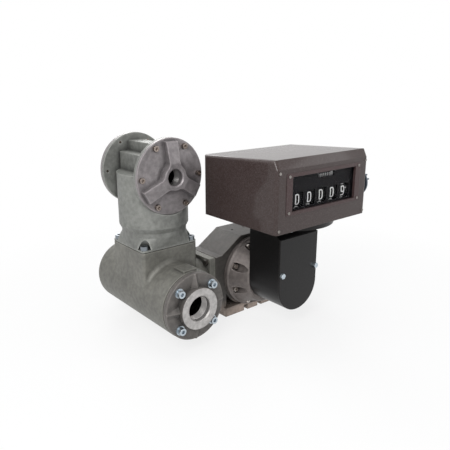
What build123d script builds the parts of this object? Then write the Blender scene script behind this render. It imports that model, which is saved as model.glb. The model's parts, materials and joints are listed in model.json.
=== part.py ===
from build123d import *
from math import acos, atan2, cos, degrees, pi, radians, sin, sqrt, tan
import os

os.makedirs("parts", exist_ok=True)

# Rotary positive displacement flow meter with inlet strainer, air eliminator and mechanical register.
# Millimetres. +Z is up, the register and the inlet port face -Y, liquid runs from -X to +X.
# The origin is the centre of the meter's foot face.

# Fits and clearances
running_gap = 0.05
soft_gap = 0.3
seal_thickness = 1.5
seal_inset = 1.0
fastener_gap = 0.4
tap_run_out = 2.0
socket_share = 0.55

# Pipe ports, 1-1/2 inch taper thread drawn at its inner radius, and the 1 inch vent ports
port_bore_r = 22.4
port_thread_length = 24.0
port_chamfer = 2.0
vent_bore_r = 14.6

# Meter body
body_half_depth = 40.0
body_ring_r = 78.0
ring_foot_rise = 9.0
top_rise = 2.0
top_half_width = 30.0
shoulder_x = 80.0
shoulder_rise = 47.0
flange_reach = 18.0
port_rise = 3.0
flange_half_height = 43.0
flange_undercut = 4.0
passage_r = 20.0
flange_bolt_y = 30.0
flange_bolt_z = 35.0

# Feet
foot_half_width = 75.0
foot_half_depth = 46.0
foot_height = 19.0
foot_slot_x = 19.5
foot_slot_width = 10.0
foot_slot_height = 12.0
leg_thickness = 6.0
foot_hole_x = 55.0
foot_hole_y = 30.0
foot_hole_r = 4.5
top_hole_x = 16.0
top_hole_y = 4.0
top_hole_r = 2.6
top_hole_depth = 12.0

# Rotors, in the plane across their shafts
rotor_pitch = 39.0
side_rotor_x = 28.5
blocking_drop = 21.0
side_chamber_r = 27.0
blocking_chamber_r = 24.0
rotor_tip_gap = 0.25
rotor_hub_r = 14.8
vane_half_width = 5.8
pocket_r = 13.0
pocket_offset = 24.1
rotor_end_gap = 0.3
bearing_plate_r = 58.0
bearing_plate_thickness = 8.0
rotor_shaft_r = 7.0
flange_tap_r = 4.0
flange_tap_depth = 14.0
flange_corner_r = 4.0
flange_bolt_head_r = 6.5
flange_bolt_head_height = 6.0
outlet_boss_r = 33.0
outlet_boss_length = 20.0
outlet_boss_draft = 3.0

# Timing and drive gears
pressure_angle = 25.0
timing_teeth = 22
timing_width = 10.0
drive_teeth = 14
output_teeth = 26
drive_width = 8.0
gear_backlash = 0.35
tooth_addendum = 0.9
tooth_dedendum = 1.2
flank_start = 0.1
gear_plate_gap = 1.5

# Covers of the meter
cover_r = 74.3
cover_rim = 8.0
cover_edge = 3.0
cover_wall = 7.0
cover_nose_r = 52.0
cover_cavity_r = 46.0
cover_front_y = -90.5
cover_screw_circle = 64.0
cover_screw_count = 8
cover_screw_start = 22.5
cover_pocket_r = 8.5
cover_seat_depth = 14.0
cover_screw_r = 3.0
cover_head_r = 5.0
cover_head_height = 6.0
cover_tap_depth = 14.0
rear_cover_depth = 24.0
rear_drum_r = 58.0
rear_cavity_r = 53.0
rear_cavity_depth = 15.0
rear_drum_draft = 2.0
rear_dome_inset = 8.0
rear_dome_depth = 5.0

# Drive housing and its shafts
drive_half_width = 51.6
drive_front_y = -172.8
drive_axis_rise = 7.0
drive_wall = 4.0
drive_top_z = 214.0
drive_plate_thickness = 3.0
drive_plate_top_z = 193.0
drive_ledge_rise = 9.0
drive_ledge_depth = 14.0
drive_screw_rise = 29.0
output_shaft_r = 6.0
vertical_shaft_y = -141.0
vertical_shaft_r = 5.0
bevel_teeth = 16
bevel_pitch_r = 16.0
bevel_width = 7.0
bevel_hub_length = 8.0
bevel_addendum = 1.3
bevel_dedendum = 1.9
bevel_root_share = 0.30
bevel_tip_share = 0.12
bevel_hub_step = 1.0
gland_r = 14.0
gland_nut_r = 18.0
gland_nut_length = 8.0
drive_boss_r = 5.6
drive_boss_length = 12.0
drive_screw_r = 2.5
drive_screw_head_r = 5.5
drive_screw_head_height = 5.0
drive_screw_depth = 10.0
shaft_rise = 12.0
adapter_hub_r = 50.0
adapter_thickness = 8.0
adapter_bolt_circle = 72.0
adapter_bolt_r = 3.0
adapter_bolt_count = 4
adapter_head_r = 6.5
adapter_head_height = 5.0

# Register
register_half_width = 120.0
register_front_y = -226.0
register_rear_y = -35.0
register_bottom_z = 227.4
register_front_top_z = 350.9
register_rear_top_z = 340.8
bevel_drop = 15.1
bevel_setback = 7.5
case_wall = 2.0
case_round = 6.0
base_thickness = 3.0
base_screw_r = 2.5
base_screw_head_r = 6.0
base_screw_head_height = 5.0
bezel_screw_x = 92.0
bezel_screw_inset = 5.2
bezel_screw_r = 1.5
bezel_screw_head_r = 2.4
bezel_screw_head_height = 1.2
bezel_screw_length = 9.0
case_screw_x = 113.5
case_screw_z = (234.0, 330.0)
base_screw_places = ((96.0, -206.0), (70.0, -210.0), (96.0, -55.0))
frame_x = 82.0
frame_thickness = 3.0
frame_top_rise = 3.0
frame_top_depth = 40.0
adapter_r = 85.0
window_half_width = 84.0
window_bottom_z = 262.5
window_top_z = 321.5
bezel_half_width = 98.0
bezel_bottom_z = 256.5
bezel_top_z = 328.0
bezel_lip = 3.0
bezel_depth = 4.0
bezel_proud = 1.0
bezel_corner_r = 4.0
glass_thickness = 1.5
glass_margin_x = 6.0
glass_margin_z = 1.0
dial_thickness = 1.2
dial_margin_x = 3.0
dial_window_inset = 1.0
dial_gap = 1.2

# Number wheels, on a shaft along X
wheel_r = 34.0
wheel_width = 26.0
wheel_pitch_x = 30.6
wheel_axis_z = 279.0
wheel_shaft_r = 5.0
wheel_web = 3.0
wheel_rim = 3.0
wheel_hub_r = 9.0
wheel_window_half_height = 13.0
wheel_gap_to_dial = 1.3
total_wheel_r = 8.0
total_wheel_count = 7
total_wheel_width = 5.6
total_wheel_step = 6.0
total_axis_z = 314.5
total_centre_x = 10.0
total_shaft_r = 1.5

# Reset knob on the end of the number wheels' shaft
knob_r = 29.0
knob_inner_x = 124.0
knob_disc_x = 144.0
knob_outer_x = 164.0
knob_collar_r = 9.0
knob_rim = 3.0
knob_dome_rise = 5.0
knob_prong_gap = 4.5
knob_prong_thickness = 3.0
knob_prong_length = 40.0
knob_prong_turn = -30.0
shaft_overhang = 2.0

# Strainer
tube_x = -205.8
tube_r = 62.3
tube_wall = 5.0
tube_front_y = -108.0
tube_rear_y = 142.0
tube_rear_round = 18.0
tube_mouth_r = 42.0
tube_mouth_depth = 20.0
inlet_flange_r = 61.7
inlet_flange_y = -118.8
inlet_port_y = -132.6
inlet_boss_r = 37.8
inlet_bolt_offset = 34.8
inlet_washer_r = 8.6
inlet_washer_thickness = 2.4
inlet_rib_width = 26.0
inlet_rib_tip_width = 6.0
inlet_rib_drop = 3.0
inlet_rib_tip_rise = 2.0
inlet_rib_count = 4
basket_r = 38.0
basket_wall = 0.8
basket_rear_y = 96.0
basket_slots = 8
basket_rows = 3
pad_z = 179.8
pad_side_inset = 4.0
pad_half_y = 53.8
riser_y = 8.0
riser_wall = 3.8
riser_foot_r = 9.0
outlet_neck_r = 36.0
outlet_flange_thickness = 14.0
nameless_pad_x = 28.0
nameless_pad_y = 30.0
nameless_pad_rise = 2.5
nameless_pad_inset = 3.0
pad_corner_r = 5.0
tube_rear_wall = 8.0
drain_rise = 32.3
drain_r = 11.0
drain_head_r = 13.5
drain_head_height = 8.0
inlet_screw_r = 3.5
inlet_tap_depth = 14.0
inlet_head_r = 6.5
inlet_head_height = 8.0
basket_rim_depth = 4.0
basket_margin = 10.0
basket_bridge = 10.0
basket_slot_width = 9.0

# Air eliminator
chamber_r = 64.0
chamber_wall = 6.0
neck_r = 59.5
neck_z = 203.0
neck_top_z = 211.0
chamber_full_z = 220.0
eliminator_base_thickness = 3.0
eliminator_bolt_r = 4.0
eliminator_head_r = 7.0
eliminator_head_height = 7.5
eliminator_pocket_r = 12.0
eliminator_pocket_tip_r = 0.5
eliminator_tap_depth = 16.0
chamber_top_z = 315.0
step_one_half_width = 34.0
step_one_z = 347.0
step_two_half_width = 13.0
step_two_z = 366.0
vent_axis_z = 312.0
vent_disc_r = 67.3
vent_front_y = -52.0
vent_rear_y = 78.0
vent_cover_thickness = 5.0
vent_flange_thickness = 6.0
vent_chamber_r = 30.0
vent_screw_circle = 58.6
vent_screw_count = 6
vent_boss_r = 25.0
vent_boss_rise = 17.0
vent_rib_count = 3
vent_rib_width = 27.0
vent_rib_round = 12.0
vent_rib_draft = 8.0
vent_rib_end_r = 63.0
vent_rib_end_rise = 8.0
vent_dome_r = 57.0
vent_dome_top_r = 31.0
vent_dome_rise = 5.0
vent_screw_r = 2.5
vent_head_r = 5.0
vent_head_height = 5.0
vent_pocket_r = 6.5
eliminator_bolt_inset = 7.8
float_r = 21.0
float_y = 22.0
float_z = 262.0
float_arm_r = 2.5
float_hub_r = 5.0
hub_half_width = 4.5
hub_side_gap = 0.5
rod_socket = 3.0
bracket_plate = 3.0
bracket_half_width = 10.0
bracket_height = 12.0
bracket_drop = 5.0
hinge_y = -18.0
hinge_z = 296.0
hinge_r = 2.5

# Values worked out from the driving sizes
rotor_centre_z = ring_foot_rise + body_ring_r
body_top_z = rotor_centre_z + body_ring_r + top_rise
shoulder_z = rotor_centre_z + shoulder_rise
flange_face_x = body_ring_r + flange_reach
port_z = rotor_centre_z + port_rise
blocking_z = rotor_centre_z - blocking_drop
drive_axis_z = rotor_centre_z + drive_axis_rise
drive_screw_x = drive_half_width - drive_boss_r
drive_screw_z = drive_axis_z + drive_screw_rise
drain_z = port_z - tube_r + drain_rise
pad_half_x = tube_r - pad_side_inset
riser_bore_r = min(pad_half_x, pad_half_y) - riser_wall
eliminator_bolt_x = pad_half_x - eliminator_bolt_inset
eliminator_bolt_y = pad_half_y - eliminator_bolt_inset
chamber_half_depth = body_half_depth - bearing_plate_thickness
blocking_outer_r = blocking_chamber_r - rotor_tip_gap
vane_tip_r = side_chamber_r - rotor_tip_gap
side_rotor_z = blocking_z + sqrt(rotor_pitch**2 - side_rotor_x**2)
right_direction = degrees(atan2(side_rotor_z - blocking_z, side_rotor_x))
left_direction = 180 - right_direction
rotor_length = 2 * (chamber_half_depth - rotor_end_gap)
cover_seat_y = -body_half_depth - cover_seat_depth
timing_module = rotor_pitch / timing_teeth
drive_module = 2 * (drive_axis_z - blocking_z) / (drive_teeth + output_teeth)
wheel_axis_y = register_front_y + bezel_depth + glass_thickness + dial_gap + dial_thickness
wheel_axis_y += wheel_gap_to_dial + wheel_r


def facing_front(x, y, z):
    """Sketch plane seen from the front: its x is +X, its y is +Z, it extrudes towards -Y."""
    return Plane(origin=(x, y, z), x_dir=(1, 0, 0), z_dir=(0, -1, 0))


def facing_rear(x, y, z):
    """Sketch plane seen from the rear: it extrudes towards +Y."""
    return Plane(origin=(x, y, z), x_dir=(-1, 0, 0), z_dir=(0, 1, 0))


def facing_right(x, y, z):
    """Sketch plane seen from the outlet side: its x is +Y, its y is +Z, it extrudes towards +X."""
    return Plane(origin=(x, y, z), x_dir=(0, 1, 0), z_dir=(1, 0, 0))


def facing_left(x, y, z):
    """Sketch plane seen from the inlet side: it extrudes towards -X."""
    return Plane(origin=(x, y, z), x_dir=(0, -1, 0), z_dir=(-1, 0, 0))


def facing_up(x, y, z):
    """Sketch plane seen from above: it extrudes towards +Z."""
    return Plane(origin=(x, y, z), x_dir=(1, 0, 0), z_dir=(0, 0, 1))


def socket_screw(head_r, head_height, shank_r, shank_length):
    """Socket head screw with its seat at z = 0 and its shank below it."""
    with BuildPart() as screw:
        Cylinder(head_r, head_height, align=(Align.CENTER, Align.CENTER, Align.MIN))
        Cylinder(shank_r, shank_length, align=(Align.CENTER, Align.CENTER, Align.MAX))
        with BuildSketch(Plane.XY.offset(head_height)):
            RegularPolygon(socket_share * head_r, 6)
        extrude(amount=-socket_share * head_height, mode=Mode.SUBTRACT)
    return screw.part


def hex_screw(head_r, head_height, shank_r, shank_length):
    """Hexagon head screw with its seat at z = 0 and its shank below it."""
    with BuildPart() as screw:
        with BuildSketch():
            RegularPolygon(head_r, 6)
        extrude(amount=head_height)
        Cylinder(shank_r, shank_length, align=(Align.CENTER, Align.CENTER, Align.MAX))
    return screw.part


def flank_angle(radius, pitch_r, half_thickness):
    """Angle in radians from a tooth's centre line to its involute flank at a radius."""
    base_r = pitch_r * cos(radians(pressure_angle))
    at_pitch = tan(radians(pressure_angle)) - radians(pressure_angle)
    local_angle = acos(min(1.0, base_r / radius))
    return half_thickness / pitch_r + at_pitch - (tan(local_angle) - local_angle)


def gear_outline(teeth, module, first_tooth):
    """Face of a spur gear: each flank is one arc through three points of the involute."""
    pitch_r = teeth * module / 2
    half_thickness = (pi * module / 2 - gear_backlash) / 2
    tip_r = pitch_r + tooth_addendum * module
    root_r = pitch_r - tooth_dedendum * module
    base_r = pitch_r * cos(radians(pressure_angle))
    start_r = max(root_r, base_r) + flank_start * module
    middle_r = (start_r + tip_r) / 2

    def place(radius, angle):
        return (radius * cos(angle), radius * sin(angle))

    def flank(radius):
        return flank_angle(radius, pitch_r, half_thickness)

    with BuildSketch() as outline:
        with BuildLine():
            for tooth in range(teeth):
                centre = radians(first_tooth) + 2 * pi * tooth / teeth
                after = centre + 2 * pi / teeth
                low = place(start_r, centre - flank(start_r))
                high = place(tip_r, centre - flank(tip_r))
                Line(place(root_r, centre - flank(start_r)), low)
                ThreePointArc(low, place(middle_r, centre - flank(middle_r)), high)
                far_high = place(tip_r, centre + flank(tip_r))
                far_low = place(start_r, centre + flank(start_r))
                Line(high, far_high)
                ThreePointArc(far_high, place(middle_r, centre + flank(middle_r)), far_low)
                root = place(root_r, centre + flank(start_r))
                Line(far_low, root)
                Line(root, place(root_r, after - flank(start_r)))
        make_face()
    return outline.sketch


def spur_gear(teeth, module, width, bore_r, first_tooth):
    """Spur gear from z = 0 to its width, with a bore for its shaft."""
    with BuildPart() as gear:
        with BuildSketch():
            add(gear_outline(teeth, module, first_tooth))
            Circle(bore_r, mode=Mode.SUBTRACT)
        extrude(amount=width)
    return gear.part


def meshing_gap_angle(direction, driver_first_tooth, driver_teeth, driven_teeth):
    """First tooth angle of a driven gear whose gaps take the driver's teeth.

    The direction runs from the driver's axis to the driven gear's axis, in degrees.
    """
    driver_step = 360 / driver_teeth
    ahead = (driver_first_tooth - direction) % driver_step
    gap = direction + 180 - ahead * driver_teeth / driven_teeth
    return gap + 180 / driven_teeth


def bevel_gear(first_tooth, bore_r):
    """Straight bevel gear on +Z whose pitch cone of 45 degrees has its tip at the origin."""
    inner_scale = (bevel_pitch_r - bevel_width) / bevel_pitch_r
    step = 360 / bevel_teeth
    tip_r = bevel_pitch_r + bevel_addendum
    root_r = bevel_pitch_r - bevel_dedendum
    corners = (
        (root_r, -bevel_root_share),
        (tip_r, -bevel_tip_share),
        (tip_r, bevel_tip_share),
        (root_r, bevel_root_share),
    )

    def tooth_points(scale):
        points = []
        for tooth in range(bevel_teeth):
            centre = first_tooth + step * tooth
            for radius, share in corners:
                angle = radians(centre + step * share)
                points.append((scale * radius * cos(angle), scale * radius * sin(angle)))
        return points

    with BuildPart() as gear:
        for scale in (1.0, inner_scale):
            with BuildSketch(Plane.XY.offset(bevel_pitch_r * scale)):
                with BuildLine():
                    Polyline(*tooth_points(scale), close=True)
                make_face()
        loft(ruled=True)
        with BuildSketch(Plane.XY.offset(bevel_pitch_r)):
            Circle(root_r - bevel_hub_step)
        extrude(amount=bevel_hub_length)
        with BuildSketch():
            Circle(bore_r)
        extrude(amount=bevel_pitch_r + bevel_hub_length, mode=Mode.SUBTRACT)
    return gear.part


# Meter body: ring round the rotor bores, sloped shoulders, two pipe flanges, legs and feet
half_body_outline = (
    (0, body_top_z),
    (top_half_width, body_top_z),
    (shoulder_x, shoulder_z),
    (flange_face_x, port_z + flange_half_height),
    (flange_face_x, port_z - flange_half_height),
    (foot_half_width, port_z - flange_half_height - flange_undercut),
    (foot_half_width, ring_foot_rise),
    (0, ring_foot_rise),
)
with BuildPart() as meter_body:
    with BuildSketch(facing_front(0, body_half_depth, 0)):
        with BuildLine():
            Polyline(*half_body_outline, close=True)
        make_face()
        mirror(about=Plane.YZ)
    extrude(amount=2 * body_half_depth)
    with BuildSketch(facing_front(0, foot_half_depth, 0)):
        with Locations((0, foot_height / 2)):
            Rectangle(2 * foot_half_width, foot_height)
    extrude(amount=2 * foot_half_depth)
    # round recesses in the foot plate that let the covers seat on the ring
    for recess_y in (-body_half_depth, foot_half_depth):
        with BuildSketch(facing_front(0, recess_y, rotor_centre_z)):
            Circle(cover_r + fastener_gap)
        extrude(amount=foot_half_depth - body_half_depth, mode=Mode.SUBTRACT)
    # windows between the ring, the legs and the foot plate
    with BuildSketch(facing_front(0, foot_half_depth, 0)):
        with Locations((0, foot_height)):
            Rectangle(
                foot_half_width - leg_thickness,
                port_z - flange_half_height - foot_height,
                align=(Align.MIN, Align.MIN),
            )
        with Locations((0, rotor_centre_z)):
            Circle(body_ring_r, mode=Mode.SUBTRACT)
        mirror(about=Plane.YZ)
    extrude(amount=2 * foot_half_depth, mode=Mode.SUBTRACT)
    # slots between the feet
    with BuildSketch(facing_front(0, foot_half_depth, 0)):
        with Locations((-foot_slot_x, foot_slot_height / 2), (foot_slot_x, foot_slot_height / 2)):
            Rectangle(foot_slot_width, foot_slot_height)
    extrude(amount=2 * foot_half_depth, mode=Mode.SUBTRACT)
    # three overlapping rotor bores
    with BuildSketch(facing_front(0, body_half_depth, 0)):
        with Locations((-side_rotor_x, side_rotor_z), (side_rotor_x, side_rotor_z)):
            Circle(side_chamber_r)
        with Locations((0, blocking_z)):
            Circle(blocking_chamber_r)
    extrude(amount=2 * body_half_depth, mode=Mode.SUBTRACT)
    # recesses for the bearing plates
    for recess_y in (-chamber_half_depth, body_half_depth):
        with BuildSketch(facing_front(0, recess_y, rotor_centre_z)):
            Circle(bearing_plate_r + running_gap)
        extrude(amount=bearing_plate_thickness, mode=Mode.SUBTRACT)
    # inlet and outlet passages
    for side in (-1, 1):
        with BuildSketch(facing_right(side * flange_face_x, 0, port_z)):
            Circle(passage_r)
        extrude(amount=-side * (flange_face_x - side_rotor_x), mode=Mode.SUBTRACT)
    # tapped holes: flanges, covers and the top face
    for side in (-1, 1):
        with BuildSketch(facing_right(side * flange_face_x, 0, port_z)):
            with GridLocations(2 * flange_bolt_y, 2 * flange_bolt_z, 2, 2):
                Circle(flange_tap_r)
        extrude(amount=-side * flange_tap_depth, mode=Mode.SUBTRACT)
    for face_y in (-body_half_depth, body_half_depth - cover_tap_depth):
        with BuildSketch(facing_rear(0, face_y, rotor_centre_z)):
            with PolarLocations(cover_screw_circle, cover_screw_count, start_angle=cover_screw_start):
                Circle(cover_screw_r)
        extrude(amount=cover_tap_depth, mode=Mode.SUBTRACT)
    with BuildSketch(facing_up(0, top_hole_y, body_top_z)):
        with Locations((-top_hole_x, 0), (top_hole_x, 0)):
            Circle(top_hole_r)
    extrude(amount=-top_hole_depth, mode=Mode.SUBTRACT)
    # holes through the foot plate, reached from the windows
    with BuildSketch(facing_up(0, 0, 0)):
        with GridLocations(2 * foot_hole_x, 2 * foot_hole_y, 2, 2):
            Circle(foot_hole_r)
    extrude(amount=foot_height, mode=Mode.SUBTRACT)
meter_body.part.label = "meter_body"
export_step(meter_body.part, "parts/meter_body.step")

# Bearing plates that close the rotor bores at both ends
for name, plate_y in (("front_bearing_plate", -chamber_half_depth), ("rear_bearing_plate", body_half_depth)):
    with BuildPart() as bearing_plate:
        with BuildSketch(facing_front(0, plate_y, 0)):
            with Locations((0, rotor_centre_z)):
                Circle(bearing_plate_r)
            with Locations((-side_rotor_x, side_rotor_z), (side_rotor_x, side_rotor_z), (0, blocking_z)):
                Circle(rotor_shaft_r + running_gap, mode=Mode.SUBTRACT)
        extrude(amount=bearing_plate_thickness)
    bearing_plate.part.label = name
    export_step(bearing_plate.part, f"parts/{name}.step")

# Blocking rotor: a drum with two round pockets that let the vanes pass
front_gear_y = -body_half_depth - gear_plate_gap
rear_gear_y = body_half_depth + gear_plate_gap
with BuildPart() as blocking_rotor:
    with BuildSketch(facing_front(0, rotor_length / 2, blocking_z)):
        Circle(blocking_outer_r)
        with Locations((0, pocket_offset), (0, -pocket_offset)):
            Circle(pocket_r, mode=Mode.SUBTRACT)
    extrude(amount=rotor_length)
    with BuildSketch(facing_front(0, rear_gear_y + timing_width, blocking_z)):
        Circle(rotor_shaft_r)
    extrude(amount=rear_gear_y + timing_width - front_gear_y + drive_width)
blocking_rotor.part.label = "blocking_rotor"
export_step(blocking_rotor.part, "parts/blocking_rotor.step")

# Displacement rotors: a hub with two vanes that sweep the side bores
side_rotors = (
    ("left_rotor", -side_rotor_x, 2 * left_direction - 90),
    ("right_rotor", side_rotor_x, 2 * right_direction - 90),
)
for name, rotor_x, vane_angle in side_rotors:
    with BuildPart() as side_rotor:
        with BuildSketch(facing_front(rotor_x, rotor_length / 2, side_rotor_z)):
            Rectangle(2 * vane_tip_r, 2 * vane_half_width, rotation=vane_angle)
            Circle(vane_tip_r, mode=Mode.INTERSECT)
            Circle(rotor_hub_r)
        extrude(amount=rotor_length)
        with BuildSketch(facing_front(rotor_x, rear_gear_y + timing_width, side_rotor_z)):
            Circle(rotor_shaft_r)
        extrude(amount=rear_gear_y + timing_width + body_half_depth)
    side_rotor.part.label = name
    export_step(side_rotor.part, f"parts/{name}.step")

# Timing gears on the rear shaft ends; the blocking gear has a tooth on the line to the left gear
timing_gears = (
    ("blocking_gear", 0, blocking_z, left_direction),
    (
        "left_gear",
        -side_rotor_x,
        side_rotor_z,
        meshing_gap_angle(left_direction, left_direction, timing_teeth, timing_teeth),
    ),
    (
        "right_gear",
        side_rotor_x,
        side_rotor_z,
        meshing_gap_angle(right_direction, left_direction, timing_teeth, timing_teeth),
    ),
)
for name, gear_x, gear_z, first_tooth in timing_gears:
    with BuildPart(facing_front(gear_x, rear_gear_y + timing_width, gear_z)) as timing_gear:
        add(spur_gear(timing_teeth, timing_module, timing_width, rotor_shaft_r, first_tooth))
    timing_gear.part.label = name
    export_step(timing_gear.part, f"parts/{name}.step")

# Reduction to the output shaft in the front cover
with BuildPart(facing_front(0, front_gear_y, blocking_z)) as drive_pinion:
    add(spur_gear(drive_teeth, drive_module, drive_width, rotor_shaft_r, 90))
drive_pinion.part.label = "drive_pinion"
export_step(drive_pinion.part, "parts/drive_pinion.step")

output_first_tooth = meshing_gap_angle(90, 90, drive_teeth, output_teeth)
with BuildPart(facing_front(0, front_gear_y, drive_axis_z)) as output_gear:
    add(spur_gear(output_teeth, drive_module, drive_width, output_shaft_r, output_first_tooth))
output_gear.part.label = "output_gear"
export_step(output_gear.part, "parts/output_gear.step")

lower_bevel_small_y = vertical_shaft_y + bevel_pitch_r - bevel_width
with BuildPart() as output_shaft:
    with BuildSketch(facing_front(0, front_gear_y, drive_axis_z)):
        Circle(output_shaft_r)
    extrude(amount=front_gear_y - lower_bevel_small_y)
output_shaft.part.label = "output_shaft"
export_step(output_shaft.part, "parts/output_shaft.step")

# Front cover: flange, conical dome to the drive seat, counterbored screw pockets
with BuildPart() as front_cover:
    with BuildSketch(Plane.XY.offset(rotor_centre_z)):
        with BuildLine():
            Polyline(
                (0, -body_half_depth),
                (cover_r, -body_half_depth),
                (cover_r, -body_half_depth - cover_rim),
                (cover_r - cover_edge, -body_half_depth - cover_rim - cover_edge),
                (cover_nose_r + cover_edge, cover_front_y + cover_edge),
                (cover_nose_r, cover_front_y),
                (0, cover_front_y),
                close=True,
            )
        make_face()
    revolve(axis=Axis((0, 0, rotor_centre_z), (0, 1, 0)))
    with BuildSketch(facing_front(0, -body_half_depth, rotor_centre_z)):
        Circle(cover_cavity_r)
    extrude(amount=-body_half_depth - cover_front_y - cover_wall, mode=Mode.SUBTRACT)
    with BuildSketch(facing_front(0, cover_seat_y, rotor_centre_z)):
        with PolarLocations(cover_screw_circle, cover_screw_count, start_angle=cover_screw_start):
            Circle(cover_pocket_r)
    extrude(amount=cover_seat_y - cover_front_y, mode=Mode.SUBTRACT)
    with BuildSketch(facing_front(0, -body_half_depth, rotor_centre_z)):
        with PolarLocations(cover_screw_circle, cover_screw_count, start_angle=cover_screw_start):
            Circle(cover_screw_r)
    extrude(amount=cover_seat_depth, mode=Mode.SUBTRACT)
    with BuildSketch(facing_front(0, -body_half_depth, drive_axis_z)):
        Circle(gland_r)
    extrude(amount=-body_half_depth - cover_front_y, mode=Mode.SUBTRACT)
front_cover.part.label = "front_cover"
export_step(front_cover.part, "parts/front_cover.step")

with BuildPart(facing_front(0, cover_seat_y, rotor_centre_z)) as front_cover_screws:
    cover_screw = socket_screw(
        cover_head_r, cover_head_height, cover_screw_r, cover_seat_depth + cover_tap_depth - tap_run_out
    )
    with PolarLocations(cover_screw_circle, cover_screw_count, start_angle=cover_screw_start):
        add(cover_screw)
front_cover_screws.part.label = "front_cover_screws"
export_step(front_cover_screws.part, "parts/front_cover_screws.step")

# Rear cover over the timing gears
with BuildPart() as rear_cover:
    with BuildSketch(Plane.XY.offset(rotor_centre_z)):
        with BuildLine():
            Polyline(
                (0, body_half_depth),
                (cover_r, body_half_depth),
                (cover_r, body_half_depth + cover_rim),
                (rear_drum_r, body_half_depth + cover_rim),
                (rear_drum_r - rear_drum_draft, body_half_depth + rear_cover_depth - rear_dome_depth),
                (rear_drum_r - rear_dome_inset, body_half_depth + rear_cover_depth),
                (0, body_half_depth + rear_cover_depth),
                close=True,
            )
        make_face()
    revolve(axis=Axis((0, 0, rotor_centre_z), (0, 1, 0)))
    with BuildSketch(facing_rear(0, body_half_depth, rotor_centre_z)):
        Circle(rear_cavity_r)
    extrude(amount=rear_cavity_depth, mode=Mode.SUBTRACT)
    with BuildSketch(facing_rear(0, body_half_depth, rotor_centre_z)):
        with PolarLocations(cover_screw_circle, cover_screw_count, start_angle=cover_screw_start):
            Circle(cover_screw_r)
    extrude(amount=cover_rim, mode=Mode.SUBTRACT)
rear_cover.part.label = "rear_cover"
export_step(rear_cover.part, "parts/rear_cover.step")

with BuildPart(facing_rear(0, body_half_depth + cover_rim, rotor_centre_z)) as rear_cover_bolts:
    rear_bolt_length = cover_rim + cover_tap_depth - tap_run_out
    rear_bolt = hex_screw(cover_head_r, cover_head_height, cover_screw_r, rear_bolt_length)
    with PolarLocations(cover_screw_circle, cover_screw_count, start_angle=cover_screw_start):
        add(rear_bolt)
rear_cover_bolts.part.label = "rear_cover_bolts"
export_step(rear_cover_bolts.part, "parts/rear_cover_bolts.step")

# Packing gland that seals the output shaft
with BuildPart() as packing_gland:
    with BuildSketch(facing_front(0, cover_front_y + cover_wall, drive_axis_z)):
        Circle(gland_r)
        Circle(output_shaft_r + running_gap, mode=Mode.SUBTRACT)
    extrude(amount=cover_wall)
    with BuildSketch(facing_front(0, cover_front_y, drive_axis_z)):
        RegularPolygon(gland_nut_r, 6)
        Circle(output_shaft_r + running_gap, mode=Mode.SUBTRACT)
    extrude(amount=gland_nut_length)
packing_gland.part.label = "packing_gland"
export_step(packing_gland.part, "parts/packing_gland.step")

# Outlet flange, with the port that a pipe screws into
outlet_face_x = flange_face_x + seal_thickness
outlet_port_x = outlet_face_x + outlet_flange_thickness + outlet_boss_length
with BuildPart() as outlet_flange:
    with BuildSketch(facing_right(outlet_face_x, 0, port_z)):
        RectangleRounded(2 * body_half_depth, 2 * flange_half_height, flange_corner_r)
    extrude(amount=outlet_flange_thickness)
    with BuildSketch(facing_right(outlet_face_x + outlet_flange_thickness, 0, port_z)):
        Circle(outlet_boss_r)
    extrude(amount=outlet_boss_length, taper=outlet_boss_draft)
    with BuildSketch(facing_right(outlet_face_x, 0, port_z)):
        Circle(passage_r)
    extrude(amount=outlet_flange_thickness + outlet_boss_length, mode=Mode.SUBTRACT)
    with BuildSketch(facing_left(outlet_port_x, 0, port_z)):
        Circle(port_bore_r)
    extrude(amount=port_thread_length, mode=Mode.SUBTRACT)
    outlet_mouth = outlet_flange.faces().sort_by(Axis.X)[-1].inner_wires()[0]
    chamfer(outlet_mouth.edges(), port_chamfer)
    with BuildSketch(facing_right(outlet_face_x, 0, port_z)):
        with GridLocations(2 * flange_bolt_y, 2 * flange_bolt_z, 2, 2):
            Circle(flange_tap_r)
    extrude(amount=outlet_flange_thickness, mode=Mode.SUBTRACT)
outlet_flange.part.label = "outlet_flange"
export_step(outlet_flange.part, "parts/outlet_flange.step")

# Gaskets at the two pipe flanges of the meter
with BuildPart() as meter_seals:
    for side in (-1, 1):
        with BuildSketch(facing_right(side * flange_face_x, 0, port_z)):
            RectangleRounded(
                2 * (body_half_depth - seal_inset), 2 * (flange_half_height - seal_inset), flange_corner_r
            )
            Circle(passage_r, mode=Mode.SUBTRACT)
            with GridLocations(2 * flange_bolt_y, 2 * flange_bolt_z, 2, 2):
                Circle(flange_tap_r, mode=Mode.SUBTRACT)
        extrude(amount=side * seal_thickness)
meter_seals.part.label = "meter_seals"
export_step(meter_seals.part, "parts/meter_seals.step")

# Hexagon bolts of both pipe flanges
flange_bolt = hex_screw(
    flange_bolt_head_r,
    flange_bolt_head_height,
    flange_tap_r,
    outlet_flange_thickness + seal_thickness + flange_tap_depth - tap_run_out,
)
head_seat_x = flange_face_x + seal_thickness + outlet_flange_thickness
with BuildPart(facing_right(head_seat_x, 0, port_z), facing_left(-head_seat_x, 0, port_z)) as flange_bolts:
    with GridLocations(2 * flange_bolt_y, 2 * flange_bolt_z, 2, 2):
        add(flange_bolt)
flange_bolts.part.label = "flange_bolts"
export_step(flange_bolts.part, "parts/flange_bolts.step")

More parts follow.
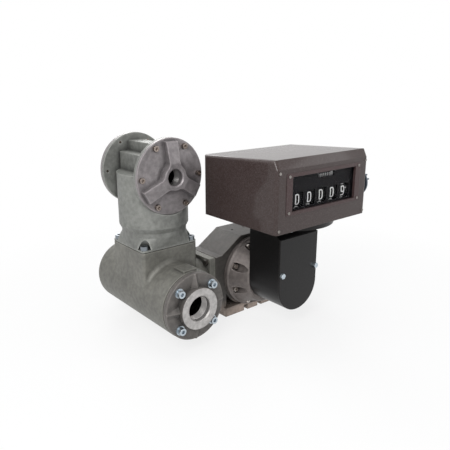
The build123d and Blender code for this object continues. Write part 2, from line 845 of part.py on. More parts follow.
# Drive housing: a deep U over the shafts, open at the front, with a ledge below the register
with BuildPart() as drive_housing:
    housing_front_y = drive_front_y + drive_plate_thickness
    housing_depth = cover_front_y - housing_front_y
    with BuildSketch(facing_front(0, cover_front_y, 0)):
        with Locations((0, drive_axis_z)):
            Circle(drive_half_width)
        with Locations((0, (drive_axis_z + drive_top_z) / 2)):
            Rectangle(2 * drive_half_width, drive_top_z - drive_axis_z)
    extrude(amount=housing_depth)
    with BuildSketch(facing_front(0, cover_front_y - drive_wall, 0)):
        with Locations((0, drive_axis_z)):
            Circle(drive_half_width - drive_wall)
        with Locations((0, (drive_axis_z + drive_plate_top_z - drive_wall) / 2)):
            Rectangle(2 * (drive_half_width - drive_wall), drive_plate_top_z - drive_wall - drive_axis_z)
    extrude(amount=housing_depth, mode=Mode.SUBTRACT)
    with BuildSketch(facing_right(0, 0, 0)):
        with BuildLine():
            ledge_y = housing_front_y + drive_ledge_depth
            ledge_z = drive_plate_top_z + drive_ledge_rise
            Polyline(
                (housing_front_y, drive_plate_top_z),
                (ledge_y, ledge_z),
                (ledge_y, drive_top_z),
                (housing_front_y, drive_top_z),
                close=True,
            )
        make_face()
    extrude(amount=drive_half_width, both=True, mode=Mode.SUBTRACT)
    # hollow under the top wall
    with BuildSketch(facing_up(0, (ledge_y + cover_front_y) / 2, drive_axis_z)):
        Rectangle(2 * (drive_half_width - drive_wall), cover_front_y - ledge_y - 2 * drive_wall)
    extrude(amount=drive_top_z - drive_wall - drive_axis_z, mode=Mode.SUBTRACT)
    with BuildSketch(facing_front(0, cover_front_y, drive_axis_z)):
        Circle(gland_nut_r + fastener_gap)
    extrude(amount=drive_wall, mode=Mode.SUBTRACT)
    with BuildSketch(facing_up(0, vertical_shaft_y, drive_plate_top_z)):
        Circle(vertical_shaft_r + running_gap)
    extrude(amount=drive_top_z - drive_plate_top_z, mode=Mode.SUBTRACT)
    # bosses that take the screws of the front plate
    with BuildSketch(facing_front(0, housing_front_y + drive_boss_length, drive_screw_z)):
        with Locations((-drive_screw_x, 0), (drive_screw_x, 0)):
            Circle(drive_boss_r)
    extrude(amount=drive_boss_length)
    with BuildSketch(facing_front(0, housing_front_y + drive_boss_length, drive_screw_z)):
        with Locations((-drive_screw_x, 0), (drive_screw_x, 0)):
            Circle(drive_screw_r)
    extrude(amount=drive_boss_length, mode=Mode.SUBTRACT)
drive_housing.part.label = "drive_housing"
export_step(drive_housing.part, "parts/drive_housing.step")

with BuildPart() as drive_plate:
    with BuildSketch(facing_front(0, housing_front_y, 0)):
        with Locations((0, drive_axis_z)):
            Circle(drive_half_width)
        with Locations((0, (drive_axis_z + drive_plate_top_z) / 2)):
            Rectangle(2 * drive_half_width, drive_plate_top_z - drive_axis_z)
        with Locations((-drive_screw_x, drive_screw_z), (drive_screw_x, drive_screw_z)):
            Circle(drive_screw_r, mode=Mode.SUBTRACT)
    extrude(amount=drive_plate_thickness)
    chamfer(drive_plate.faces().sort_by(Axis.Y)[0].outer_wire().edges(), drive_plate_thickness / 3)
drive_plate.part.label = "drive_plate"
export_step(drive_plate.part, "parts/drive_plate.step")

with BuildPart(facing_front(0, drive_front_y, drive_screw_z)) as drive_plate_screws:
    plate_screw_length = drive_plate_thickness + drive_screw_depth
    plate_screw = hex_screw(
        drive_screw_head_r, drive_screw_head_height, drive_screw_r, plate_screw_length
    )
    with Locations((-drive_screw_x, 0), (drive_screw_x, 0)):
        add(plate_screw)
drive_plate_screws.part.label = "drive_plate_screws"
export_step(drive_plate_screws.part, "parts/drive_plate_screws.step")

# Bevel gears that turn the drive upwards, and the upright shaft
with BuildPart(facing_rear(0, vertical_shaft_y, drive_axis_z)) as lower_bevel_gear:
    add(bevel_gear(90 + 180 / bevel_teeth, output_shaft_r))
lower_bevel_gear.part.label = "lower_bevel_gear"
export_step(lower_bevel_gear.part, "parts/lower_bevel_gear.step")

with BuildPart(facing_up(0, vertical_shaft_y, drive_axis_z)) as upper_bevel_gear:
    add(bevel_gear(90, vertical_shaft_r))
upper_bevel_gear.part.label = "upper_bevel_gear"
export_step(upper_bevel_gear.part, "parts/upper_bevel_gear.step")

with BuildPart() as vertical_shaft:
    with BuildSketch(facing_up(0, vertical_shaft_y, drive_axis_z + bevel_pitch_r - bevel_width)):
        Circle(vertical_shaft_r)
    extrude(amount=register_bottom_z + shaft_rise - drive_axis_z - bevel_pitch_r + bevel_width)
vertical_shaft.part.label = "vertical_shaft"
export_step(vertical_shaft.part, "parts/vertical_shaft.step")

# Round adapter plate between the drive housing and the register
with BuildPart() as adapter_plate:
    with BuildSketch(facing_up(0, vertical_shaft_y, drive_top_z)):
        Circle(adapter_hub_r)
    extrude(amount=register_bottom_z - drive_top_z)
    with BuildSketch(facing_up(0, vertical_shaft_y, register_bottom_z - adapter_thickness)):
        Circle(adapter_r)
    extrude(amount=adapter_thickness)
    with BuildSketch(facing_up(0, vertical_shaft_y, drive_top_z)):
        Circle(vertical_shaft_r + running_gap)
        with PolarLocations(adapter_bolt_circle, adapter_bolt_count, start_angle=45):
            Circle(adapter_bolt_r)
    extrude(amount=register_bottom_z - drive_top_z, mode=Mode.SUBTRACT)
adapter_plate.part.label = "adapter_plate"
export_step(adapter_plate.part, "parts/adapter_plate.step")

adapter_underside_z = register_bottom_z - adapter_thickness
with BuildPart() as adapter_bolts:
    adapter_bolt = Rot(X=180) * hex_screw(
        adapter_head_r, adapter_head_height, adapter_bolt_r, adapter_thickness + base_thickness
    )
    with Locations((0, vertical_shaft_y, adapter_underside_z)):
        with PolarLocations(adapter_bolt_circle, adapter_bolt_count, start_angle=45):
            add(adapter_bolt)
adapter_bolts.part.label = "adapter_bolts"
export_step(adapter_bolts.part, "parts/adapter_bolts.step")

# Register base plate
register_centre_y = (register_front_y + register_rear_y) / 2
inner_half_width = register_half_width - case_wall
inner_depth = register_rear_y - register_front_y - 2 * case_wall
with BuildPart() as register_base:
    with BuildSketch(facing_up(0, register_centre_y, register_bottom_z)):
        RectangleRounded(2 * inner_half_width, inner_depth, case_round - case_wall)
    extrude(amount=base_thickness)
    with BuildSketch(facing_up(0, vertical_shaft_y, register_bottom_z)):
        Circle(vertical_shaft_r + fastener_gap)
        with PolarLocations(adapter_bolt_circle, adapter_bolt_count, start_angle=45):
            Circle(adapter_bolt_r)
    extrude(amount=base_thickness, mode=Mode.SUBTRACT)
    base_screw_spots = [(side * x, y) for side in (-1, 1) for x, y in base_screw_places]
    with BuildSketch(facing_up(0, 0, register_bottom_z)):
        with Locations(*base_screw_spots):
            Circle(base_screw_r)
    extrude(amount=base_thickness, mode=Mode.SUBTRACT)
register_base.part.label = "register_base"
export_step(register_base.part, "parts/register_base.step")


bezel_screw_spots = [
    (side * bezel_screw_x, screw_z)
    for side in (-1, 1)
    for screw_z in (bezel_bottom_z + bezel_screw_inset, bezel_top_z - bezel_screw_inset)
]
case_screw_spots = [(side * case_screw_x, screw_z) for side in (-1, 1) for screw_z in case_screw_z]


# Register case: drawn sheet with rounded edges, a sloped top and an opening for the bezel
with BuildPart() as register_case:
    with BuildSketch(facing_right(0, 0, 0)):
        with BuildLine():
            Polyline(
                (register_front_y, register_bottom_z),
                (register_front_y, register_front_top_z - bevel_drop),
                (register_front_y + bevel_setback, register_front_top_z),
                (register_rear_y, register_rear_top_z),
                (register_rear_y, register_bottom_z),
                close=True,
            )
        make_face()
    extrude(amount=register_half_width, both=True)
    open_face = register_case.faces().sort_by(Axis.Z)[0]
    side_edges = register_case.faces().filter_by(Axis.X).edges()
    fillet([edge for edge in side_edges if edge not in open_face.edges()], case_round)
    offset(amount=-case_wall, openings=register_case.faces().sort_by(Axis.Z)[0])
    with BuildSketch(facing_front(0, register_front_y + case_wall, 0)):
        with Locations((0, (bezel_bottom_z + bezel_top_z) / 2)):
            Rectangle(2 * (bezel_half_width - bezel_lip), bezel_top_z - bezel_bottom_z - 2 * bezel_lip)
    extrude(amount=case_wall, mode=Mode.SUBTRACT)
    with BuildSketch(facing_right(inner_half_width, wheel_axis_y, wheel_axis_z)):
        Circle(wheel_shaft_r + running_gap)
    extrude(amount=case_wall, mode=Mode.SUBTRACT)
    with BuildSketch(facing_front(0, register_front_y + case_round, 0)):
        with Locations(*case_screw_spots):
            Circle(bezel_screw_r)
    extrude(amount=case_round, mode=Mode.SUBTRACT)
register_case.part.label = "register_case"
export_step(register_case.part, "parts/register_case.step")

# Bezel round the window, with a collar that reaches into the case
with BuildPart() as front_bezel:
    bezel_middle_z = (bezel_bottom_z + bezel_top_z) / 2
    window_middle_z = (window_bottom_z + window_top_z) / 2
    with BuildSketch(facing_front(0, register_front_y, bezel_middle_z)):
        RectangleRounded(2 * bezel_half_width, bezel_top_z - bezel_bottom_z, bezel_corner_r)
    extrude(amount=bezel_proud)
    with BuildSketch(facing_front(0, register_front_y + bezel_depth, bezel_middle_z)):
        Rectangle(
            2 * (bezel_half_width - bezel_lip - soft_gap),
            bezel_top_z - bezel_bottom_z - 2 * (bezel_lip + soft_gap),
        )
    extrude(amount=bezel_depth)
    with BuildSketch(facing_front(0, register_front_y + bezel_depth, window_middle_z)):
        Rectangle(2 * window_half_width, window_top_z - window_bottom_z)
    extrude(amount=bezel_depth + bezel_proud, mode=Mode.SUBTRACT)
    with BuildSketch(facing_front(0, register_front_y + bezel_depth, 0)):
        with Locations(*bezel_screw_spots):
            Circle(bezel_screw_r)
    extrude(amount=bezel_depth + bezel_proud, mode=Mode.SUBTRACT)
front_bezel.part.label = "front_bezel"
export_step(front_bezel.part, "parts/front_bezel.step")

glass_front_y = register_front_y + bezel_depth
dial_front_y = glass_front_y + glass_thickness + dial_gap
with BuildPart() as window_glass:
    with BuildSketch(facing_rear(0, glass_front_y, window_middle_z)):
        Rectangle(
            2 * (window_half_width + glass_margin_x),
            window_top_z - window_bottom_z + 2 * glass_margin_z,
        )
    extrude(amount=glass_thickness)
window_glass.part.label = "window_glass"
export_step(window_glass.part, "parts/window_glass.step")

wheel_positions = [wheel_pitch_x * (place - 2) for place in range(5)]
total_width = total_wheel_count * total_wheel_step
with BuildPart() as dial_plate:
    with BuildSketch(facing_rear(0, dial_front_y, 0)):
        with Locations((0, bezel_middle_z)):
            Rectangle(2 * (bezel_screw_x + dial_margin_x), bezel_top_z - bezel_bottom_z)
        with Locations(*bezel_screw_spots):
            Circle(bezel_screw_r, mode=Mode.SUBTRACT)
        for wheel_x in wheel_positions:
            with Locations((-wheel_x, wheel_axis_z)):
                Rectangle(
                    wheel_width - 2 * dial_window_inset,
                    2 * wheel_window_half_height,
                    mode=Mode.SUBTRACT,
                )
        with Locations((-total_centre_x, total_axis_z)):
            Rectangle(total_width, total_wheel_r, mode=Mode.SUBTRACT)
    extrude(amount=dial_thickness)
dial_plate.part.label = "dial_plate"
export_step(dial_plate.part, "parts/dial_plate.step")

# Side plates that carry the shafts of the register
total_axis_y = dial_front_y + dial_thickness + wheel_gap_to_dial + total_wheel_r
frame_front_y = dial_front_y + dial_thickness
with BuildPart() as register_frame:
    for side in (-1, 1):
        with BuildSketch(facing_right(side * frame_x, 0, 0)):
            with BuildLine():
                Polyline(
                    (frame_front_y, register_bottom_z + base_thickness),
                    (frame_front_y, window_top_z + frame_top_rise),
                    (frame_front_y + frame_top_depth, window_top_z + frame_top_rise),
                    (wheel_axis_y + wheel_r, wheel_axis_z),
                    (wheel_axis_y + wheel_r, register_bottom_z + base_thickness),
                    close=True,
                )
            make_face()
            with Locations((wheel_axis_y, wheel_axis_z)):
                Circle(wheel_shaft_r + running_gap, mode=Mode.SUBTRACT)
            with Locations((total_axis_y, total_axis_z)):
                Circle(total_shaft_r + running_gap, mode=Mode.SUBTRACT)
        extrude(amount=side * frame_thickness)
register_frame.part.label = "register_frame"
export_step(register_frame.part, "parts/register_frame.step")

# Five large number wheels
wheel_names = ("ten_thousands_wheel", "thousands_wheel", "hundreds_wheel", "tens_wheel", "ones_wheel")
for name, wheel_x in zip(wheel_names, wheel_positions):
    with BuildPart() as number_wheel:
        with BuildSketch(facing_right(wheel_x - wheel_width / 2, wheel_axis_y, wheel_axis_z)):
            Circle(wheel_r)
        extrude(amount=wheel_width)
        with BuildSketch(facing_right(wheel_x + wheel_web - wheel_width / 2, wheel_axis_y, wheel_axis_z)):
            Circle(wheel_r - wheel_rim)
            Circle(wheel_hub_r, mode=Mode.SUBTRACT)
        extrude(amount=wheel_width - wheel_web, mode=Mode.SUBTRACT)
        with BuildSketch(facing_right(wheel_x - wheel_width / 2, wheel_axis_y, wheel_axis_z)):
            Circle(wheel_shaft_r + running_gap)
        extrude(amount=wheel_width, mode=Mode.SUBTRACT)
    number_wheel.part.label = name
    export_step(number_wheel.part, f"parts/{name}.step")

# Shaft of the number wheels, which the knob turns
with BuildPart() as wheel_shaft:
    shaft_start_x = -frame_x - frame_thickness - shaft_overhang
    with BuildSketch(facing_right(shaft_start_x, wheel_axis_y, wheel_axis_z)):
        Circle(wheel_shaft_r)
    extrude(amount=knob_disc_x - shaft_start_x)
wheel_shaft.part.label = "wheel_shaft"
export_step(wheel_shaft.part, "parts/wheel_shaft.step")

# Totalizer: small wheels on their own shaft above the large ones
with BuildPart() as totalizer_wheels:
    for place in range(total_wheel_count):
        left_x = total_centre_x + (place - total_wheel_count / 2) * total_wheel_step
        with BuildSketch(facing_right(left_x, total_axis_y, total_axis_z)):
            Circle(total_wheel_r)
            Circle(total_shaft_r, mode=Mode.SUBTRACT)
        extrude(amount=total_wheel_width)
    with BuildSketch(facing_right(-frame_x - frame_thickness, total_axis_y, total_axis_z)):
        Circle(total_shaft_r)
    extrude(amount=2 * (frame_x + frame_thickness))
totalizer_wheels.part.label = "totalizer_wheels"
export_step(totalizer_wheels.part, "parts/totalizer_wheels.step")

# Reset knob: collar, domed disc and a grip of two blades
with BuildPart() as reset_knob:
    dome_start_x = knob_disc_x + knob_rim
    with BuildSketch(Plane.XY.offset(wheel_axis_z)):
        with BuildLine():
            collar = Polyline(
                (dome_start_x + knob_dome_rise, wheel_axis_y),
                (knob_inner_x, wheel_axis_y),
                (knob_inner_x, wheel_axis_y + knob_collar_r),
                (knob_disc_x, wheel_axis_y + knob_collar_r),
                (knob_disc_x, wheel_axis_y + knob_r),
                (dome_start_x, wheel_axis_y + knob_r),
            )
            TangentArc(collar @ 0, collar @ 1, tangent=(0, 1))
        make_face()
    revolve(axis=Axis((0, wheel_axis_y, wheel_axis_z), (1, 0, 0)))
    with BuildSketch(facing_right(dome_start_x, wheel_axis_y, wheel_axis_z)):
        with Locations(Location((0, 0, 0), (0, 0, knob_prong_turn))):
            with GridLocations(0, 2 * knob_prong_gap, 1, 2):
                Rectangle(knob_prong_length, knob_prong_thickness)
    extrude(amount=knob_outer_x - dome_start_x)
    with BuildSketch(facing_right(knob_inner_x, wheel_axis_y, wheel_axis_z)):
        Circle(wheel_shaft_r)
    extrude(amount=knob_disc_x - knob_inner_x, mode=Mode.SUBTRACT)
reset_knob.part.label = "reset_knob"
export_step(reset_knob.part, "parts/reset_knob.step")

# Screws of the register: under the base, in the bezel corners and in the corners of the case
with BuildPart() as register_screws:
    base_screw = Rot(X=180) * hex_screw(
        base_screw_head_r, base_screw_head_height, base_screw_r, base_thickness
    )
    with Locations(*[(x, y, register_bottom_z) for x, y in base_screw_spots]):
        add(base_screw)
    front_screw = socket_screw(
        bezel_screw_head_r, bezel_screw_head_height, bezel_screw_r, bezel_screw_length
    )
    for screw_x, screw_z in bezel_screw_spots:
        add(facing_front(screw_x, register_front_y - bezel_proud, screw_z).location * front_screw)
    for screw_x, screw_z in case_screw_spots:
        add(facing_front(screw_x, register_front_y, screw_z).location * front_screw)
register_screws.part.label = "register_screws"
export_step(register_screws.part, "parts/register_screws.step")


def roof_ribs(count, width, tip_width, inner_r, outer_r, height, tip_height):
    """Ribs on z = 0 with a sloping ridge, broad at the inner radius and narrow at the outer one."""
    with BuildPart() as rib:
        for radius, base, rise in ((inner_r, width, height), (outer_r, tip_width, tip_height)):
            with BuildSketch(Plane.YZ.offset(radius)):
                with BuildLine():
                    Polyline((-base / 2, 0), (base / 2, 0), (0, rise), close=True)
                make_face()
        loft(ruled=True)
    with BuildPart() as ribs:
        with PolarLocations(0, count):
            add(rib.part)
    return ribs.part


# Strainer housing: tube with a rounded closed end, square riser, outlet neck and flange
strainer_face_x = -flange_face_x - seal_thickness
with BuildPart() as strainer_housing:
    with BuildSketch(facing_front(tube_x, tube_rear_y, port_z)):
        Circle(tube_r)
    extrude(amount=tube_rear_y - tube_front_y)
    fillet(strainer_housing.edges().sort_by(Axis.Y)[-1], tube_rear_round)
    with BuildSketch(facing_up(tube_x, riser_y, port_z)):
        RectangleRounded(2 * pad_half_x, 2 * pad_half_y, pad_corner_r)
    extrude(amount=pad_z - port_z)
    fillet(strainer_housing.edges(Select.NEW), riser_foot_r)
    with BuildSketch(facing_right(tube_x, 0, port_z)):
        Circle(outlet_neck_r)
    extrude(amount=strainer_face_x - tube_x)
    with BuildSketch(facing_left(strainer_face_x, 0, port_z)):
        RectangleRounded(2 * body_half_depth, 2 * flange_half_height, flange_corner_r)
    extrude(amount=outlet_flange_thickness)
    # low raised pad on top of the tube, left bare
    nameless_pad_centre_y = tube_front_y + nameless_pad_inset + nameless_pad_y / 2
    with BuildSketch(facing_up(tube_x, nameless_pad_centre_y, port_z)):
        Rectangle(nameless_pad_x, nameless_pad_y)
    extrude(amount=tube_r + nameless_pad_rise)
    # hollow inside
    with BuildSketch(facing_rear(tube_x, tube_front_y, port_z)):
        Circle(tube_mouth_r)
    extrude(amount=tube_mouth_depth, mode=Mode.SUBTRACT)
    with BuildSketch(facing_rear(tube_x, tube_front_y + tube_mouth_depth, port_z)):
        Circle(tube_r - tube_wall)
    extrude(amount=tube_rear_y - tube_front_y - tube_mouth_depth - tube_rear_wall, mode=Mode.SUBTRACT)
    with BuildSketch(facing_up(tube_x, riser_y, port_z)):
        Circle(riser_bore_r)
    extrude(amount=pad_z - port_z, mode=Mode.SUBTRACT)
    with BuildSketch(facing_right(tube_x, 0, port_z)):
        Circle(passage_r)
    extrude(amount=strainer_face_x - tube_x, mode=Mode.SUBTRACT)
    with BuildSketch(facing_front(tube_x, tube_rear_y, drain_z)):
        Circle(drain_r)
    extrude(amount=tube_rear_wall, mode=Mode.SUBTRACT)
    # tapped and clear holes
    with BuildSketch(facing_rear(tube_x, tube_front_y, port_z)):
        with GridLocations(2 * inlet_bolt_offset, 2 * inlet_bolt_offset, 2, 2):
            Circle(inlet_screw_r)
    extrude(amount=inlet_tap_depth, mode=Mode.SUBTRACT)
    with BuildSketch(facing_up(tube_x, riser_y, pad_z)):
        with GridLocations(2 * eliminator_bolt_x, 2 * eliminator_bolt_y, 2, 2):
            Circle(eliminator_bolt_r)
    extrude(amount=-eliminator_tap_depth, mode=Mode.SUBTRACT)
    with BuildSketch(facing_left(strainer_face_x, 0, port_z)):
        with GridLocations(2 * flange_bolt_y, 2 * flange_bolt_z, 2, 2):
            Circle(flange_tap_r)
    extrude(amount=outlet_flange_thickness, mode=Mode.SUBTRACT)
strainer_housing.part.label = "strainer_housing"
export_step(strainer_housing.part, "parts/strainer_housing.step")

# Inlet flange with four ribs between its screws
inlet_seat_y = tube_front_y - seal_thickness
with BuildPart() as inlet_flange:
    with BuildSketch(facing_front(tube_x, inlet_seat_y, port_z)):
        Circle(inlet_flange_r)
    extrude(amount=inlet_seat_y - inlet_flange_y)
    with BuildSketch(facing_front(tube_x, inlet_flange_y, port_z)):
        Circle(inlet_boss_r)
    extrude(amount=inlet_flange_y - inlet_port_y)
    inlet_ribs = roof_ribs(
        inlet_rib_count,
        inlet_rib_width,
        inlet_rib_tip_width,
        port_bore_r + port_chamfer,
        inlet_flange_r,
        inlet_flange_y - inlet_port_y - inlet_rib_drop,
        inlet_rib_tip_rise,
    )
    add(facing_front(tube_x, inlet_flange_y, port_z).location * inlet_ribs)
    with BuildSketch(facing_front(tube_x, inlet_seat_y, port_z)):
        Circle(port_bore_r)
        with GridLocations(2 * inlet_bolt_offset, 2 * inlet_bolt_offset, 2, 2):
            Circle(inlet_screw_r)
    extrude(amount=inlet_seat_y - inlet_port_y, mode=Mode.SUBTRACT)
    inlet_mouth = inlet_flange.faces().sort_by(Axis.Y)[0].inner_wires()[0]
    chamfer(inlet_mouth.edges(), port_chamfer)
inlet_flange.part.label = "inlet_flange"
export_step(inlet_flange.part, "parts/inlet_flange.step")

with BuildPart() as inlet_flange_screws:
    with BuildSketch(facing_front(tube_x, inlet_flange_y, port_z)):
        with GridLocations(2 * inlet_bolt_offset, 2 * inlet_bolt_offset, 2, 2):
            Circle(inlet_washer_r)
            Circle(inlet_screw_r, mode=Mode.SUBTRACT)
    extrude(amount=inlet_washer_thickness)
    screw_seat_y = inlet_flange_y - inlet_washer_thickness
    inlet_screw_length = tube_front_y - screw_seat_y + inlet_tap_depth - tap_run_out
    inlet_screw = socket_screw(
        inlet_head_r, inlet_head_height, inlet_screw_r, inlet_screw_length
    )
    seat = facing_front(tube_x, screw_seat_y, port_z).location
    for x in (-inlet_bolt_offset, inlet_bolt_offset):
        for y in (-inlet_bolt_offset, inlet_bolt_offset):
            add(seat * Pos(x, y, 0) * inlet_screw)
inlet_flange_screws.part.label = "inlet_flange_screws"
export_step(inlet_flange_screws.part, "parts/inlet_flange_screws.step")

# Gaskets of the strainer: behind the inlet flange and on the square pad
with BuildPart() as strainer_seals:
    with BuildSketch(facing_front(tube_x, tube_front_y, port_z)):
        Circle(inlet_flange_r - seal_inset)
        Circle(tube_mouth_r + fastener_gap, mode=Mode.SUBTRACT)
        with GridLocations(2 * inlet_bolt_offset, 2 * inlet_bolt_offset, 2, 2):
            Circle(inlet_screw_r, mode=Mode.SUBTRACT)
    extrude(amount=seal_thickness)
    with BuildSketch(facing_up(tube_x, riser_y, pad_z)):
        RectangleRounded(2 * (pad_half_x - seal_inset), 2 * (pad_half_y - seal_inset), pad_corner_r)
        Circle(riser_bore_r, mode=Mode.SUBTRACT)
        with GridLocations(2 * eliminator_bolt_x, 2 * eliminator_bolt_y, 2, 2):
            Circle(eliminator_bolt_r, mode=Mode.SUBTRACT)
    extrude(amount=seal_thickness)
strainer_seals.part.label = "strainer_seals"
export_step(strainer_seals.part, "parts/strainer_seals.step")

# Strainer basket: a slotted cup whose rim lies on the inlet flange
basket_length = basket_rear_y - inlet_seat_y
with BuildPart() as strainer_basket:
    with BuildSketch(facing_rear(tube_x, inlet_seat_y, port_z)):
        Circle(basket_r)
    extrude(amount=basket_length)
    with BuildSketch(facing_rear(tube_x, inlet_seat_y, port_z)):
        Circle(tube_mouth_r - running_gap)
    extrude(amount=basket_rim_depth)
    with BuildSketch(facing_rear(tube_x, inlet_seat_y, port_z)):
        Circle(basket_r - basket_wall)
    extrude(amount=basket_length - basket_wall, mode=Mode.SUBTRACT)
    slot_pitch = (basket_length - 2 * basket_margin) / basket_rows
    with Locations((tube_x, inlet_seat_y + basket_length / 2, port_z)):
        with GridLocations(0, slot_pitch, 1, basket_rows):
            for turn in range(basket_slots // 2):
                Box(
                    3 * basket_r,
                    slot_pitch - basket_bridge,
                    basket_slot_width,
                    rotation=(0, 360 * turn / basket_slots, 0),
                    mode=Mode.SUBTRACT,
                )
strainer_basket.part.label = "strainer_basket"
export_step(strainer_basket.part, "parts/strainer_basket.step")

with BuildPart(facing_rear(tube_x, tube_rear_y, drain_z)) as drain_plug:
    add(hex_screw(drain_head_r, drain_head_height, drain_r, tube_rear_wall))
drain_plug.part.label = "drain_plug"
export_step(drain_plug.part, "parts/drain_plug.step")

# Air eliminator: square base, flare, upright chamber and a cross chamber with two flanges
eliminator_base_z = pad_z + seal_thickness
vent_front_seat_y = vent_front_y + vent_cover_thickness
vent_rear_seat_y = vent_rear_y - vent_cover_thickness
with BuildPart() as eliminator_housing:
    with BuildSketch(facing_up(tube_x, riser_y, eliminator_base_z)):
        RectangleRounded(2 * pad_half_x, 2 * pad_half_y, pad_corner_r)
    extrude(amount=eliminator_base_thickness)
    with BuildSketch(facing_up(tube_x, riser_y, eliminator_base_z + eliminator_base_thickness)):
        RectangleRounded(2 * pad_half_x, 2 * pad_half_y, pad_corner_r)
    with BuildSketch(facing_up(tube_x, riser_y, neck_z)):
        Circle(neck_r)
    loft()
    with BuildSketch(Plane.XZ.offset(-riser_y)):
        with BuildLine():
            Polyline(
                (tube_x, neck_z),
                (tube_x + neck_r, neck_z),
                (tube_x + neck_r, neck_top_z),
                (tube_x + chamber_r, chamber_full_z),
                (tube_x + chamber_r, chamber_top_z),
                (tube_x, chamber_top_z),
                close=True,
            )
        make_face()
    revolve(axis=Axis((tube_x, riser_y, 0), (0, 0, 1)))
    for half_width, top_z in ((step_one_half_width, step_one_z), (step_two_half_width, step_two_z)):
        with BuildSketch(facing_up(tube_x, riser_y, chamber_top_z)):
            Circle(chamber_r)
            Rectangle(2 * half_width, 2 * chamber_r, mode=Mode.INTERSECT)
        extrude(amount=top_z - chamber_top_z)
    # flat seat for the front cover
    with BuildSketch(facing_front(tube_x, vent_front_seat_y, vent_axis_z)):
        Circle(vent_disc_r + fastener_gap)
    extrude(amount=chamber_r, mode=Mode.SUBTRACT)
    with BuildSketch(facing_rear(tube_x, vent_front_seat_y, vent_axis_z)):
        Circle(vent_disc_r)
    extrude(amount=vent_flange_thickness)
    with BuildSketch(facing_front(tube_x, vent_rear_seat_y, vent_axis_z)):
        Circle(vent_disc_r)
    extrude(amount=vent_flange_thickness)
    # hollow inside
    with BuildSketch(facing_up(tube_x, riser_y, eliminator_base_z)):
        Circle(riser_bore_r)
    extrude(amount=neck_z - eliminator_base_z, mode=Mode.SUBTRACT)
    with BuildSketch(facing_up(tube_x, riser_y, neck_z - chamber_wall)):
        Circle(neck_r - chamber_wall)
    extrude(amount=chamber_full_z - neck_z + chamber_wall, mode=Mode.SUBTRACT)
    with BuildSketch(facing_up(tube_x, riser_y, chamber_full_z)):
        Circle(chamber_r - chamber_wall)
    extrude(amount=chamber_top_z - chamber_wall - chamber_full_z, mode=Mode.SUBTRACT)
    with BuildSketch(facing_rear(tube_x, vent_front_seat_y, vent_axis_z)):
        Circle(vent_chamber_r)
    extrude(amount=vent_rear_seat_y - vent_front_seat_y, mode=Mode.SUBTRACT)
    # pointed notches and holes for the bolts
    notch_low_z = eliminator_base_z + eliminator_base_thickness
    with Locations((tube_x, riser_y, notch_low_z)):
        with GridLocations(2 * eliminator_bolt_x, 2 * eliminator_bolt_y, 2, 2):
            Cone(
                eliminator_pocket_r,
                eliminator_pocket_tip_r,
                chamber_full_z - notch_low_z,
                align=(Align.CENTER, Align.CENTER, Align.MIN),
                mode=Mode.SUBTRACT,
            )
    with BuildSketch(facing_up(tube_x, riser_y, eliminator_base_z)):
        with GridLocations(2 * eliminator_bolt_x, 2 * eliminator_bolt_y, 2, 2):
            Circle(eliminator_bolt_r)
    extrude(amount=eliminator_base_thickness, mode=Mode.SUBTRACT)
    for seat in (
        facing_rear(tube_x, vent_front_seat_y, vent_axis_z),
        facing_front(tube_x, vent_rear_seat_y, vent_axis_z),
    ):
        with BuildSketch(seat):
            with PolarLocations(vent_screw_circle, vent_screw_count):
                Circle(vent_screw_r)
        extrude(amount=vent_flange_thickness, mode=Mode.SUBTRACT)
eliminator_housing.part.label = "eliminator_housing"
export_step(eliminator_housing.part, "parts/eliminator_housing.step")

bolt_seat_z = eliminator_base_z + eliminator_base_thickness
with BuildPart() as eliminator_bolts:
    bolt_length = bolt_seat_z - pad_z + eliminator_tap_depth - tap_run_out
    eliminator_bolt = socket_screw(
        eliminator_head_r, eliminator_head_height, eliminator_bolt_r, bolt_length
    )
    with Locations((tube_x, riser_y, bolt_seat_z)):
        with GridLocations(2 * eliminator_bolt_x, 2 * eliminator_bolt_y, 2, 2):
            add(eliminator_bolt)
eliminator_bolts.part.label = "eliminator_bolts"
export_step(eliminator_bolts.part, "parts/eliminator_bolts.step")

def vent_spider():
    """Broad ribs with drafted flanks that flow together round the centre and slope to the rim."""
    with BuildPart() as spider:
        with BuildSketch() as arms:
            with PolarLocations(vent_rib_end_r / 2, vent_rib_count, start_angle=90):
                Rectangle(vent_rib_end_r, vent_rib_width)
            Circle(vent_boss_r)
            inner = arms.vertices().filter_by(lambda corner: corner.center().length < vent_dome_top_r)
            fillet(inner, vent_rib_round)
        extrude(amount=vent_cover_thickness + vent_boss_rise, taper=vent_rib_draft)
        with BuildSketch(Plane.XZ):
            with BuildLine():
                Polyline(
                    (0, 0),
                    (vent_rib_end_r, 0),
                    (vent_rib_end_r, vent_cover_thickness + vent_rib_end_rise),
                    (vent_boss_r, vent_cover_thickness + vent_boss_rise),
                    (0, vent_cover_thickness + vent_boss_rise),
                    close=True,
                )
            make_face()
        revolve(axis=Axis.Z, mode=Mode.INTERSECT)
    return spider.part


